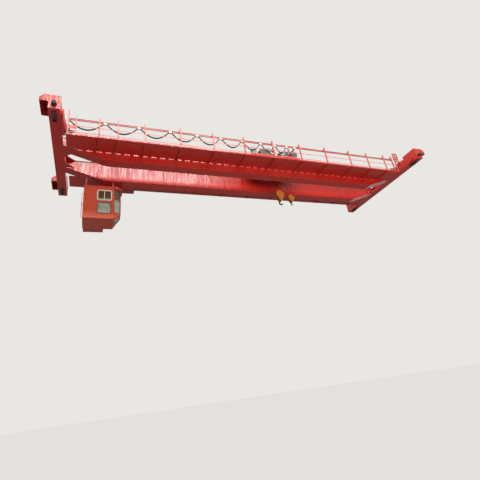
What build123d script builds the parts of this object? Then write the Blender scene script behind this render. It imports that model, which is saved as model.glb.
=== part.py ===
"""Double-girder overhead bridge crane with an under-slung cabin.

Millimetres. X runs along the bridge, Y along the runway (-Y is the side of the walkway that
carries the cable track), Z is up. The origin lies on the centreline of the left runway rail,
at the level of the rail head, half way between the two girders.
"""
from build123d import *
import math
import os

os.makedirs("parts", exist_ok=True)

SEAT = 0.3                   # between pieces that bear on each other

# Bridge
SPAN = 22500.0               # between the centrelines of the two runway rails
GIRDER_SPACING = 2020.0      # between the girders' middles, also the trolley's gauge
GIRDER_TOP = 610.0           # top face of the top flange
GIRDER_DEPTH = 1220.0        # over both flanges
FLANGE_WIDTH = 580.0
FLANGE_THICK = 12.0
WEB_SPREAD = 500.0           # over the outer faces of the two webs
WEB_THICK = 8.0
FLAT_BOTTOM = 17720.0        # length of the level stretch of the bottom flange
GIRDER_END_UNDERSIDE = 100.0 # where the rising bottom flange meets the end carriage

# End carriages
CARRIAGE_WIDTH = 500.0
CARRIAGE_TOP = 500.0
CARRIAGE_DEPTH = 400.0
CARRIAGE_LENGTH = 8040.0
CARRIAGE_PLATE = 12.0
WHEEL_RADIUS = 350.0
WHEEL_BASE = 6900.0
TREAD_WIDTH = 90.0
WHEEL_FLANGE = 25.0
AXLE_RADIUS = 60.0
HOOD_HEIGHT = 400.0
HOOD_LENGTH = 1070.0
HOOD_OUTER_REACH = 640.0     # from the rail's centreline to the hood's outer face
HOOD_CHAMFER = 200.0
HOOD_SHEET = 6.0
GUSSET_LEG = 520.0
GUSSET_THICK = 12.0
BUFFER_RADIUS = 90.0
BUFFER_LENGTH = 180.0

# Trolley rails
RAIL_HEIGHT = 120.0
RAIL_FOOT = 100.0
RAIL_HEAD = 60.0
RAIL_HEAD_DEPTH = 32.0
RAIL_FOOT_THICK = 14.0
RAIL_WEB = 16.0
RAIL_END_GAP = 380.0         # from the runway rail's centreline to the end of the trolley rail
STOP_HEIGHT = 260.0

# Walkways
WALKWAY_EDGE = 2500.0        # from the bridge's middle to the walkway's outer edge
WALKWAY_END = 450.0          # from the runway rail's centreline to the walkway's end
EDGE_ANGLE = 95.0
EDGE_THICK = 8.0
DECK_TOP = -78.0
DECK_THICK = 6.0
DECK_WEB_GAP = 46.0          # light shows through between deck and web
TABS_PER_BAY = 4             # plates across that gap that weld the deck to the web
TAB_LENGTH = 195.0
TAB_END = 600.0              # no tabs this close to the walkway's ends, where the flange rises past it
BRACKET_ANGLE = 60.0
BRACKET_THICK = 6.0
BRACKET_FOOT = -520.0        # where the brace meets the web
BRACKET_EDGE_GAP = 60.0      # least height of that foot above the girder's underside

# Railing posts and cable track
POST_BAY = 1942.0
FIRST_BAY_POST = 4300.0
BAY_POSTS = 8
LEFT_POSTS = (1960.0, 2890.0)
RIGHT_POSTS = (19420.0, 20930.0)
END_POST_INSET = 30.0
INNER_END_POST = 400.0       # from the end post to the one beside it
INNER_POST_HEIGHT = 950.0
POST_HEIGHT = 1230.0
END_POST_HEIGHT = 1510.0
POST_LEG = 70.0
POST_THICK = 7.0
MID_RAIL_HEIGHT = 560.0
KNEE_RAIL_HEIGHT = 150.0
BAR_DEPTH = 40.0
BAR_THICK = 8.0
TRACK_OFFSET = 210.0         # from the walkway's outer edge inwards to the track
TRACK_BOTTOM = 1020.0
TRACK_DEPTH = 100.0
TRACK_WIDTH = 60.0
TRACK_THICK = 7.0
TRACK_END = 560.0            # from the runway rail's centreline
PANEL_WIDTH = 420.0
PANEL_HEIGHT = 760.0
PANEL_MIDDLE = 1230.0
PANEL_THICK = 50.0
PANEL_BORDER = 60.0          # width of the frame round it
PANEL_STAY = 50.0            # width of the upright inside it and of the leg below it
SWITCH_WIDTH = 190.0
SWITCH_HEIGHT = 260.0
SWITCH_DEPTH = 120.0

# Cable carriers and cables
CARRIER_PLACES = (
    2270.0, 4020.0, 5730.0, 7280.0, 8730.0, 10110.0, 11340.0, 12310.0, 13170.0, 13750.0
)
CARRIER_LENGTH = 180.0
CARRIER_WIDTH = 96.0
CARRIER_DEPTH = 70.0
CARRIER_GAP = 14.0           # between the saddle and the track's bottom flange
SADDLE_CORNER = 18.0
ROLLER_RADIUS = 18.0
CABLE_RADIUS = 20.0
CABLE_SAG = 500.0
CLAMP_WIDTH = 70.0
CHEEK_REACH = 60.0           # how far the carrier's cheeks stand up beside the track
CHEEK_THICK = 8.0
ROLLER_LENGTH = 36.0
ROLLER_SPREAD = 90.0         # between the two rollers on one side of a carrier
LOOP_SHAPE = (               # share of a loop's span, share of its sag
    (0.0, 0.0),
    (0.125, 0.4375),
    (0.25, 0.75),
    (0.375, 0.9375),
    (0.5, 1.0),
    (0.625, 0.9375),
    (0.75, 0.75),
    (0.875, 0.4375),
    (1.0, 0.0),
)

# Junction box and arm at the fixed end of the cables
ANCHOR_HEIGHT = 470.0
ANCHOR_ARM_DEPTH = 130.0
ANCHOR_ARM_THICK = 30.0
ANCHOR_OVERHANG = 60.0       # of the arm beyond the end post
JUNCTION_LENGTH = 180.0
JUNCTION_WIDTH = 120.0
JUNCTION_DEPTH = 230.0
CLAMP_POST_WIDTH = 50.0
CLAMP_OVERHANG = 60.0        # of the clamp past the cable's middle

# Trolley
TROLLEY_PLACE = 13100.0
TROLLEY_LENGTH = 3500.0
TROLLEY_BEAM_WIDTH = 240.0
TROLLEY_BEAM_DEPTH = 330.0
TROLLEY_RIDE = 90.0          # underside of the side beams above the rail head
TROLLEY_WHEEL_RADIUS = 175.0
TROLLEY_WHEEL_BASE = 2500.0
TROLLEY_AXLE_RADIUS = 40.0
CROSS_BEAM_WIDTH = 160.0
CROSS_BEAM_DEPTH = 220.0
TROLLEY_PLATE = 10.0
SWITCH_BOX_PLACE = 14180.0
SWITCH_BOX_MIDDLE = 1610.0
SWITCH_BOX_WIDTH = 300.0
SWITCH_BOX_DEPTH = 120.0
SWITCH_BOX_HEIGHT = 430.0
MAIN_DRUM_RADIUS = 250.0
AUX_DRUM_RADIUS = 180.0
DRUM_LENGTH = 1400.0
DRUM_AXIS_HEIGHT = 1520.0
DRUM_SHAFT_RADIUS = 50.0
DRUM_BEARING_GAP = 140.0     # from the drum's end to the gearbox
GEARBOX_WIDTH = 240.0
MAIN_GEAR_CENTRES = 760.0    # from the drum's axis to the motor's
AUX_GEAR_CENTRES = 1000.0
MAIN_BRAKE_REACH = 360.0     # from the gearbox to the motor
AUX_BRAKE_REACH = 240.0
MOTOR_HEIGHT = 330.0         # of the hoist motors' axes above the trolley frame
MAIN_MOTOR_RADIUS = 210.0
MAIN_MOTOR_LENGTH = 760.0
AUX_MOTOR_RADIUS = 160.0
AUX_MOTOR_LENGTH = 350.0
MAIN_GEAR_HULL = (200.0, 260.0)  # radius of the casing round the motor's axis and round the drum's
AUX_GEAR_HULL = (190.0, 200.0)
MAIN_COVER_RADIUS = 235.0    # round cover on the casing's near face
AUX_COVER_RADIUS = 175.0
COVER_THICK = 30.0
MAIN_BRAKE_RADIUS = 150.0
AUX_BRAKE_RADIUS = 110.0
BRAKE_WIDTH = 90.0
BRAKE_ARM = 40.0
COUPLING_RADIUS = 30.0
WELL_HALF = 200.0            # half the width of the rope wells in the deck
ROPE_ANCHOR_WIDTH = 90.0
ROPE_ANCHOR_DEPTH = 80.0

# Trolley travel drive
DRIVE_LENGTH = 340.0
DRIVE_BOX_WIDTH = 220.0
DRIVE_BOX_HEIGHT = 340.0
DRIVE_BOX_Y = -200.0
DRIVE_MOTOR_RADIUS = 120.0
DRIVE_MOTOR_Y = -480.0
DRIVE_MOTOR_HEIGHT = 190.0   # of its axis above the deck
CABINET_WIDTH = 240.0
CABINET_HEIGHT = 580.0
CABINET_Y = -800.0

# Hook blocks
MAIN_BLOCK_PLACE = 13350.0
MAIN_SHEAVE_RADIUS = 250.0
MAIN_SHEAVE_HEIGHT = -1190.0
MAIN_ROPE_RADIUS = 10.0
AUX_BLOCK_PLACE = 14180.0
AUX_SHEAVE_RADIUS = 190.0
AUX_SHEAVE_HEIGHT = -1380.0
AUX_ROPE_RADIUS = 7.0
ROPE_CLEAR = 0.5
MAIN_FALL_SPREAD = 150.0     # between the two sheaves' middles
AUX_FALL_SPREAD = 90.0
BLOCK_PLATE = 14.0
BLOCK_CHEEK_GAP = 60.0       # from a sheave's middle to the cheek plate beside it
BLOCK_RIM = 35.0             # of the cheek plates round the sheaves
PIN_SHARE = 0.16             # sheave pin's radius over the sheave's
MAIN_CROSS_DROP = 380.0      # from the sheaves' pin down to the crosshead
AUX_CROSS_DROP = 300.0
MAIN_SHANK = 45.0            # radius of the hook's shank
AUX_SHANK = 28.0
SHANK_CLEAR = 0.1            # running clearance of a hook shank in its crosshead
SHANK_SEAT = 0.3             # below the hook's nut
HOOK_BOWL = 1.75             # radius of the bowl in shank radii
HOOK_DROP = 5.4              # from the crosshead down to the bowl's middle
HOOK_OFFSET = 0.45           # of the bowl from the outline's middle, which makes it thickest below
HOOK_THICK = 1.7

# Cabin
CABIN_LEFT = 1320.0
CABIN_CORNER = 2930.0        # where the front wall turns into the corner windscreen
CABIN_NOSE = 3340.0
CABIN_FRONT = 920.0
CABIN_BACK = 2340.0
CORNER_DEPTH = 240.0         # of the front corner windscreen, seen from above
BACK_CORNER_DEPTH = 620.0
CABIN_FLOOR = -2970.0
CABIN_ROOF = -875.0
CABIN_WALL = 40.0
SLANT_RISE = 330.0           # height of the panel that slants in below the nose
SLANT_REACH = 380.0          # how far it runs in
GLASS_THICK = 8.0
GLASS_SEAT = 0.3             # between a pane's edge and its opening
FRAME_PROUD = 14.0
FRAME_LAP = 62.0             # width of a window frame outside its opening
MIDDLE_BAR = 45.0            # width of the bar between the framed window's two panes
GASKET_LAP = 22.0
VISOR_REACH = 90.0
VISOR_DEPTH = 130.0
VISOR_THICK = 6.0
VISOR_BAND = 82.0            # thickness of the band under the visor's rim
WINDOW_CORNER = 60.0         # radius of a window's corners
UPPER_PANE_HEIGHT = 440.0    # in the corner windscreens
UPPER_PANE_MIDDLE = -1270.0
LOWER_PANE_HEIGHT = 980.0
LOWER_PANE_MIDDLE = -2080.0
FRONT_WINDOW_MIDDLE = 2436.0 # along the bridge
DOOR_PLACE = 1840.0
DOOR_WIDTH = 700.0
DOOR_HEIGHT = 1850.0
LEFT_HANGER = 1390.0
RIGHT_HANGER = 2850.0
HANGER_LEG = 70.0
HANGER_THICK = 8.0
HANGER_FOOT = 12.0           # thickness of the plate under each hanger
GRAB_REACH = 70.0            # from the wall to the grab rail
GRAB_RADIUS = 14.0
GRAB_TOP = -1420.0
GRAB_BOTTOM = -2930.0

# Way down to the cabin behind it
PLATFORM_LEFT = 3350.0
PLATFORM_RIGHT = 4250.0
PLATFORM_REACH = 420.0       # beyond the walkway's edge
LANDING_LEFT = 1350.0
LANDING_RIGHT = 2450.0
LANDING_DEPTH = 470.0
LANDING_THICK = 90.0
LADDER_WIDTH = 420.0
STRINGER_DEPTH = 110.0
STRINGER_THICK = 8.0
TREADS = 11
TREAD_DEPTH = 150.0
TREAD_THICK = 20.0
GUARD_HEIGHT = 1000.0
GUARD_RADIUS = 17.0

# Travel drives
GEAR_CASE_PLACE = 2580.0     # from the bridge's middle to the drive's gear case
GEAR_CASE_RADIUS = 330.0
GEAR_CASE_DEPTH = 130.0
TRAVEL_MOTOR_RADIUS = 140.0
TRAVEL_MOTOR_LENGTH = 430.0
TRAVEL_MOTOR_Y = -2140.0
TRAVEL_MOTOR_Z = 300.0

MID = SPAN / 2
RAIL_TOP = GIRDER_TOP + RAIL_HEIGHT
GIRDER_BOTTOM = GIRDER_TOP - GIRDER_DEPTH
GIRDER_END = CARRIAGE_WIDTH / 2


def save(part, name):
    """Label one finished node and write it."""
    part.label = name
    export_step(part, f"parts/{name}.step")


def bottom_line(raised=0.0):
    """Four points of a girder's underside, level in the middle and rising to both ends."""
    knuckle = FLAT_BOTTOM / 2
    return [
        (GIRDER_END, GIRDER_END_UNDERSIDE + raised),
        (MID - knuckle, GIRDER_BOTTOM + raised),
        (MID + knuckle, GIRDER_BOTTOM + raised),
        (SPAN - GIRDER_END, GIRDER_END_UNDERSIDE + raised),
    ]


def underside(place_x):
    """Height of the girder's underside at one place along the bridge."""
    rise = (GIRDER_END_UNDERSIDE - GIRDER_BOTTOM) / (MID - FLAT_BOTTOM / 2 - GIRDER_END)
    return GIRDER_BOTTOM + rise * max(0.0, abs(place_x - MID) - FLAT_BOTTOM / 2)


def box_girder(middle_y):
    """One hollow girder: two webs between a straight top flange and a cranked bottom flange."""
    web_top = GIRDER_TOP - FLANGE_THICK
    web_outline = bottom_line(FLANGE_THICK) + [(SPAN - GIRDER_END, web_top), (GIRDER_END, web_top)]
    flange_outline = bottom_line() + bottom_line(FLANGE_THICK)[::-1]
    top_outline = [
        (GIRDER_END, web_top),
        (SPAN - GIRDER_END, web_top),
        (SPAN - GIRDER_END, GIRDER_TOP),
        (GIRDER_END, GIRDER_TOP),
    ]
    web_offset = (WEB_SPREAD - WEB_THICK) / 2
    plates = [
        (web_outline, middle_y - web_offset, WEB_THICK),
        (web_outline, middle_y + web_offset, WEB_THICK),
        (flange_outline, middle_y, FLANGE_WIDTH),
        (top_outline, middle_y, FLANGE_WIDTH),
    ]
    with BuildPart() as girder:
        for outline, place_y, thick in plates:
            with BuildSketch(Plane.XZ.offset(-place_y)):
                with BuildLine():
                    Polyline(*outline, close=True)
                make_face()
            extrude(amount=thick / 2, both=True)
    return girder.part


save(Compound(children=[box_girder(side * GIRDER_SPACING / 2) for side in (-1, 1)]), "girders")

# Wheel-and-carriage sizes that follow from the driving ones
wheel_places = (-WHEEL_BASE / 2, WHEEL_BASE / 2)
carriage_bottom = CARRIAGE_TOP - CARRIAGE_DEPTH
wheel_outer = WHEEL_RADIUS + WHEEL_FLANGE
wheel_slot = 2 * wheel_outer + 40.0
wheel_width = TREAD_WIDTH + 2 * WHEEL_FLANGE
axle_clear = AXLE_RADIUS + SEAT


def end_carriage(place_x):
    """Hollow box beam along Y with slots for its two wheels and bores for their axles."""
    inner_width = CARRIAGE_WIDTH - 2 * CARRIAGE_PLATE
    with BuildPart() as carriage:
        with BuildSketch(Plane.XZ):
            with Locations((place_x, (CARRIAGE_TOP + carriage_bottom) / 2)):
                Rectangle(CARRIAGE_WIDTH, CARRIAGE_DEPTH)
                Rectangle(inner_width, CARRIAGE_DEPTH - 2 * CARRIAGE_PLATE, mode=Mode.SUBTRACT)
        extrude(amount=CARRIAGE_LENGTH / 2, both=True)
        for side in (-1, 1):
            end_y = side * (CARRIAGE_LENGTH - CARRIAGE_PLATE) / 2
            with Locations((place_x, end_y, (CARRIAGE_TOP + carriage_bottom) / 2)):
                Box(CARRIAGE_WIDTH, CARRIAGE_PLATE, CARRIAGE_DEPTH)
        for wheel_y in wheel_places:
            with Locations((place_x, wheel_y, (CARRIAGE_TOP + carriage_bottom) / 2)):
                Box(wheel_width + 40.0, wheel_slot, CARRIAGE_DEPTH + 10.0, mode=Mode.SUBTRACT)
            with Locations((place_x, wheel_y, WHEEL_RADIUS)):
                Cylinder(axle_clear, CARRIAGE_WIDTH + 10.0, rotation=(0, 90, 0), mode=Mode.SUBTRACT)
    return carriage.part


save(Compound(children=[end_carriage(0.0), end_carriage(SPAN)]), "end_carriages")

# Runway wheels: double-flanged, each on a short axle through the carriage's side plates
with BuildPart() as runway_wheels:
    for place_x in (0.0, SPAN):
        for wheel_y in wheel_places:
            with Locations((place_x, wheel_y, WHEEL_RADIUS + SEAT)):
                Cylinder(WHEEL_RADIUS, TREAD_WIDTH, rotation=(0, 90, 0))
                Cylinder(AXLE_RADIUS, CARRIAGE_WIDTH + 60.0, rotation=(0, 90, 0))
            for side in (-1, 1):
                flange_x = place_x + side * (TREAD_WIDTH + WHEEL_FLANGE) / 2
                with Locations((flange_x, wheel_y, WHEEL_RADIUS + SEAT)):
                    Cylinder(wheel_outer, WHEEL_FLANGE, rotation=(0, 90, 0))
save(runway_wheels.part, "runway_wheels")

# Hoods over the wheels at the four carriage tips, open below, chamfered on the outer side
with BuildPart() as wheel_hoods:
    for place_x, outward in ((0.0, -1), (SPAN, 1)):
        for side in (-1, 1):
            tip_y = side * CARRIAGE_LENGTH / 2
            inner = -CARRIAGE_WIDTH / 2
            hood = [
                (inner, CARRIAGE_TOP),
                (inner, CARRIAGE_TOP + HOOD_HEIGHT),
                (HOOD_OUTER_REACH - HOOD_CHAMFER, CARRIAGE_TOP + HOOD_HEIGHT),
                (HOOD_OUTER_REACH, CARRIAGE_TOP + HOOD_HEIGHT - HOOD_CHAMFER),
                (HOOD_OUTER_REACH, CARRIAGE_TOP),
            ]
            outline = [(place_x + outward * x, z) for x, z in hood]
            with BuildSketch(Plane.XZ.offset(-tip_y)):
                with BuildLine():
                    Polyline(*outline, close=True)
                make_face()
            extrude(amount=side * HOOD_LENGTH)
            with BuildSketch(Plane.XZ.offset(-(tip_y - side * HOOD_SHEET))):
                with BuildLine():
                    Polyline(*outline, close=True)
                make_face()
                offset(amount=-HOOD_SHEET, kind=Kind.INTERSECTION)
            extrude(amount=side * (HOOD_LENGTH - 2 * HOOD_SHEET), mode=Mode.SUBTRACT)
            hood_middle = place_x + outward * (HOOD_OUTER_REACH + inner) / 2
            hole_width = HOOD_OUTER_REACH - inner - 2 * HOOD_SHEET
            with Locations((hood_middle, tip_y - side * HOOD_LENGTH / 2, CARRIAGE_TOP + HOOD_SHEET / 2)):
                Box(hole_width, HOOD_LENGTH - 2 * HOOD_SHEET, 2 * HOOD_SHEET, mode=Mode.SUBTRACT)
save(wheel_hoods.part, "wheel_hoods")

# Buffers on the carriage tips
with BuildPart() as carriage_buffers:
    for place_x in (0.0, SPAN):
        for side in (-1, 1):
            buffer_y = side * (CARRIAGE_LENGTH / 2 + BUFFER_LENGTH / 2)
            with Locations((place_x, buffer_y, WHEEL_RADIUS)):
                Cylinder(BUFFER_RADIUS, BUFFER_LENGTH, rotation=(90, 0, 0))
            plate_y = side * (CARRIAGE_LENGTH / 2 + 8.0)
            with Locations((place_x, plate_y, WHEEL_RADIUS)):
                Box(2.6 * BUFFER_RADIUS, 16.0, 2.6 * BUFFER_RADIUS)
save(carriage_buffers.part, "carriage_buffers")

# Horizontal corner gussets between girders and end carriages, top and bottom
with BuildPart() as corner_gussets:
    for place_x, inward in ((0.0, 1), (SPAN, -1)):
        corner_x = place_x + inward * CARRIAGE_WIDTH / 2
        for side in (-1, 1):
            corner_y = side * (GIRDER_SPACING - FLANGE_WIDTH) / 2
            for level in (GIRDER_TOP - FLANGE_THICK, carriage_bottom + GUSSET_THICK):
                with BuildSketch(Plane.XY.offset(level - GUSSET_THICK)):
                    with BuildLine():
                        Polyline(
                            (corner_x, corner_y),
                            (corner_x + inward * GUSSET_LEG, corner_y),
                            (corner_x, corner_y - side * GUSSET_LEG),
                            close=True,
                        )
                    make_face()
                extrude(amount=GUSSET_THICK)
save(corner_gussets.part, "corner_gussets")

# Trolley rails with a stop at each end
with BuildPart() as trolley_rails:
    for side in (-1, 1):
        rail_y = side * GIRDER_SPACING / 2
        with BuildSketch(Plane.YZ.offset(RAIL_END_GAP)):
            with Locations((rail_y, GIRDER_TOP + RAIL_FOOT_THICK / 2)):
                Rectangle(RAIL_FOOT, RAIL_FOOT_THICK)
            with Locations((rail_y, GIRDER_TOP + RAIL_HEIGHT / 2)):
                Rectangle(RAIL_WEB, RAIL_HEIGHT)
            with Locations((rail_y, RAIL_TOP - RAIL_HEAD_DEPTH / 2)):
                RectangleRounded(RAIL_HEAD, RAIL_HEAD_DEPTH, 6.0)
        extrude(amount=SPAN - 2 * RAIL_END_GAP)
save(trolley_rails.part, "trolley_rails")

with BuildPart() as trolley_stops:
    for place_x, inward in ((RAIL_END_GAP - 10.0, 1), (SPAN - RAIL_END_GAP + 10.0, -1)):
        for side in (-1, 1):
            rail_y = side * GIRDER_SPACING / 2
            with Locations((place_x - inward * 10.0, rail_y, GIRDER_TOP + STOP_HEIGHT / 2 + 60.0)):
                Box(20.0, 200.0, STOP_HEIGHT + 120.0)
save(trolley_stops.part, "trolley_stops")


def walkway_deck(side):
    """Deck plate with a toe angle along its outer edge, clear of the girder's web."""
    web_y = GIRDER_SPACING / 2 + WEB_SPREAD / 2
    inner_y = web_y + DECK_WEB_GAP
    length = SPAN - 2 * WALKWAY_END
    tab_pitch = POST_BAY / TABS_PER_BAY
    with BuildPart() as deck:
        with Locations((MID, side * (inner_y + WALKWAY_EDGE) / 2, DECK_TOP - DECK_THICK / 2)):
            Box(length, WALKWAY_EDGE - inner_y, DECK_THICK)
        with Locations((MID, side * (WALKWAY_EDGE - EDGE_THICK / 2), -EDGE_ANGLE / 2)):
            Box(length, EDGE_THICK, EDGE_ANGLE)
        with Locations((MID, side * (web_y + inner_y) / 2, DECK_TOP - DECK_THICK / 2)):
            with GridLocations(tab_pitch, 0.0, int((length - 2 * TAB_END) / tab_pitch), 1):
                Box(TAB_LENGTH, DECK_WEB_GAP, DECK_THICK)
    return deck.part


save(Compound(children=[walkway_deck(-1), walkway_deck(1)]), "walkway_decks")

bay_post_places = [FIRST_BAY_POST + POST_BAY * i for i in range(BAY_POSTS)]
inner_post_places = [WALKWAY_END + INNER_END_POST, SPAN - WALKWAY_END - INNER_END_POST]
end_post_places = [WALKWAY_END + END_POST_INSET, SPAN - WALKWAY_END - END_POST_INSET - POST_LEG]
post_places = sorted([*LEFT_POSTS, *bay_post_places, *RIGHT_POSTS, *inner_post_places])


def walkway_brackets(side):
    """A triangular angle-iron bracket below the deck at each post."""
    web_y = GIRDER_SPACING / 2 + WEB_SPREAD / 2
    arm_top = DECK_TOP - DECK_THICK
    with BuildPart() as brackets:
        for place_x in post_places[1:-1]:
            reach_y = WALKWAY_EDGE - EDGE_THICK
            with Locations((place_x, side * (web_y + reach_y) / 2, arm_top - BRACKET_ANGLE / 2)):
                Box(BRACKET_THICK, reach_y - web_y, BRACKET_ANGLE)
            with Locations((place_x + 20.0, side * (web_y + reach_y) / 2, arm_top - BRACKET_THICK / 2)):
                Box(BRACKET_ANGLE - 20.0, reach_y - web_y, BRACKET_THICK)
            foot = max(BRACKET_FOOT, underside(place_x) + BRACKET_EDGE_GAP)
            with BuildSketch(Plane.YZ.offset(place_x - BRACKET_THICK / 2)):
                with BuildLine():
                    Polyline(
                        (side * web_y, foot),
                        (side * web_y, foot + 90.0),
                        (side * (reach_y - 200.0), arm_top - 20.0),
                        (side * (reach_y - 110.0), arm_top - 20.0),
                        close=True,
                    )
                make_face()
            extrude(amount=BRACKET_THICK)
    return brackets.part


save(Compound(children=[walkway_brackets(-1), walkway_brackets(1)]), "walkway_brackets")


def railing_posts(side, heights):
    """Angle-iron posts standing on the walkway's outer edge; heights maps place to height."""
    with BuildPart() as posts:
        for place_x, height in heights.items():
            outer_y = side * (WALKWAY_EDGE - EDGE_THICK)
            inner_y = side * (WALKWAY_EDGE - EDGE_THICK - POST_LEG)
            web_inner = side * (WALKWAY_EDGE - EDGE_THICK - POST_THICK)
            with BuildSketch(Plane.XY.offset(DECK_TOP)):
                with BuildLine():
                    Polyline(
                        (place_x, outer_y),
                        (place_x + POST_LEG, outer_y),
                        (place_x + POST_LEG, web_inner),
                        (place_x + POST_THICK, web_inner),
                        (place_x + POST_THICK, inner_y),
                        (place_x, inner_y),
                        close=True,
                    )
                make_face()
            extrude(amount=height - DECK_TOP)
    return posts.part


near_heights = {place: POST_HEIGHT for place in post_places} | {
    end_post_places[0]: END_POST_HEIGHT,
    inner_post_places[0]: INNER_POST_HEIGHT,
    end_post_places[1]: END_POST_HEIGHT,
}
far_heights = {place: POST_HEIGHT for place in post_places}
save(Compound(children=[railing_posts(-1, near_heights), railing_posts(1, far_heights)]), "railing_posts")


def railing_bars(side, stretches, heights):
    """Flat bars along the inner faces of the posts; stretches are (start, end) along the bridge."""
    bar_y = side * (WALKWAY_EDGE - EDGE_THICK - POST_LEG - BAR_THICK / 2)
    with BuildPart() as bars:
        for start_x, end_x in stretches:
            for height in heights:
                with Locations(((start_x + end_x) / 2, bar_y, height)):
                    Box(end_x - start_x, BAR_THICK, BAR_DEPTH)
    return bars.part


near_stretches = [(end_post_places[0], end_post_places[1] + POST_LEG)]
far_stretches = [(post_places[0], PLATFORM_LEFT), (PLATFORM_RIGHT, post_places[-1] + POST_LEG)]
low_rails = (KNEE_RAIL_HEIGHT, MID_RAIL_HEIGHT)
far_rails = (KNEE_RAIL_HEIGHT, MID_RAIL_HEIGHT, POST_HEIGHT - BAR_DEPTH / 2)
near_bars = railing_bars(-1, near_stretches, low_rails)
far_bars = railing_bars(1, far_stretches, far_rails)
save(Compound(children=[near_bars, far_bars]), "railing_bars")

# Cable track: an I-section the length of the walkway, hung from an arm at each post
track_y = -(WALKWAY_EDGE - TRACK_OFFSET)
track_top = TRACK_BOTTOM + TRACK_DEPTH
with BuildPart() as cable_track:
    with BuildSketch(Plane.YZ.offset(TRACK_END)):
        with Locations((track_y, TRACK_BOTTOM + TRACK_DEPTH / 2)):
            Rectangle(TRACK_THICK, TRACK_DEPTH)
        with Locations((track_y, TRACK_BOTTOM + TRACK_THICK / 2), (track_y, track_top - TRACK_THICK / 2)):
            Rectangle(TRACK_WIDTH, TRACK_THICK)
    extrude(amount=SPAN - 2 * TRACK_END)
save(cable_track.part, "cable_track")

with BuildPart() as track_arms:
    for place_x in post_places:
        post_y = -(WALKWAY_EDGE - EDGE_THICK - POST_THICK)
        arm_end = track_y + TRACK_WIDTH / 2
        with BuildSketch(Plane.YZ.offset(place_x + POST_THICK)):
            with BuildLine():
                Polyline(
                    (post_y, track_top),
                    (arm_end, track_top),
                    (arm_end, track_top + 20.0),
                    (post_y, track_top + 105.0),
                    close=True,
                )
            make_face()
        extrude(amount=8.0)
save(track_arms.part, "track_arms")

# Fixed end of the cables: a junction box and an arm between the two left posts, a clamp above them
cable_top = TRACK_BOTTOM - CARRIER_GAP - CARRIER_DEPTH / 2
clamp_start = end_post_places[0] + POST_THICK
clamp_face = clamp_start + CLAMP_WIDTH
with BuildPart() as cable_anchor:
    anchor_y = -(WALKWAY_EDGE - EDGE_THICK - POST_LEG - BAR_THICK)
    arm_y = anchor_y + ANCHOR_ARM_THICK / 2
    arm_start = end_post_places[0] - ANCHOR_OVERHANG
    arm_end = inner_post_places[0] + POST_LEG
    with Locations((arm_start + JUNCTION_LENGTH / 2, anchor_y + JUNCTION_WIDTH / 2, ANCHOR_HEIGHT)):
        Box(JUNCTION_LENGTH, JUNCTION_WIDTH, JUNCTION_DEPTH)
    with Locations(((arm_start + arm_end) / 2, arm_y, ANCHOR_HEIGHT)):
        Box(arm_end - arm_start, ANCHOR_ARM_THICK, ANCHOR_ARM_DEPTH)
    clamp_middle = clamp_start + CLAMP_WIDTH / 2
    clamp_end_y = track_y + CLAMP_OVERHANG
    with Locations((clamp_middle, (anchor_y + clamp_end_y) / 2, cable_top)):
        Box(CLAMP_WIDTH, clamp_end_y - anchor_y, CARRIER_DEPTH)
    with Locations((clamp_middle, arm_y, (cable_top + ANCHOR_HEIGHT) / 2)):
        Box(CLAMP_POST_WIDTH, ANCHOR_ARM_THICK, cable_top - ANCHOR_HEIGHT)
save(cable_anchor.part, "cable_anchor")

# Panel frame on the tall right post, with a switch box in the middle of it
with BuildPart() as end_panel:
    panel_x = end_post_places[1] + POST_LEG + PANEL_WIDTH / 2
    panel_y = -(WALKWAY_EDGE - EDGE_THICK - POST_LEG)
    opening = (PANEL_WIDTH - 2 * PANEL_BORDER, PANEL_HEIGHT - 2 * PANEL_BORDER)
    with BuildSketch(Plane.XZ.offset(-panel_y)):
        with Locations((panel_x, PANEL_MIDDLE)):
            RectangleRounded(PANEL_WIDTH, PANEL_HEIGHT, PANEL_BORDER / 2)
            Rectangle(*opening, mode=Mode.SUBTRACT)
            Rectangle(PANEL_STAY, PANEL_HEIGHT - PANEL_BORDER)
            RectangleRounded(SWITCH_WIDTH, SWITCH_HEIGHT, PANEL_BORDER / 3)
    extrude(amount=-PANEL_THICK)
    with Locations((panel_x, panel_y + PANEL_THICK + (SWITCH_DEPTH - 10.0) / 2, PANEL_MIDDLE)):
        Box(SWITCH_WIDTH, SWITCH_DEPTH, SWITCH_HEIGHT)
    leg_x = panel_x + (PANEL_WIDTH - PANEL_STAY - 20.0) / 2
    panel_bottom = PANEL_MIDDLE - PANEL_HEIGHT / 2
    with Locations((leg_x, panel_y + PANEL_THICK / 2, (CARRIAGE_TOP + panel_bottom) / 2)):
        Box(PANEL_STAY, PANEL_THICK, panel_bottom - CARRIAGE_TOP)
save(end_panel.part, "end_panel")


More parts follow.
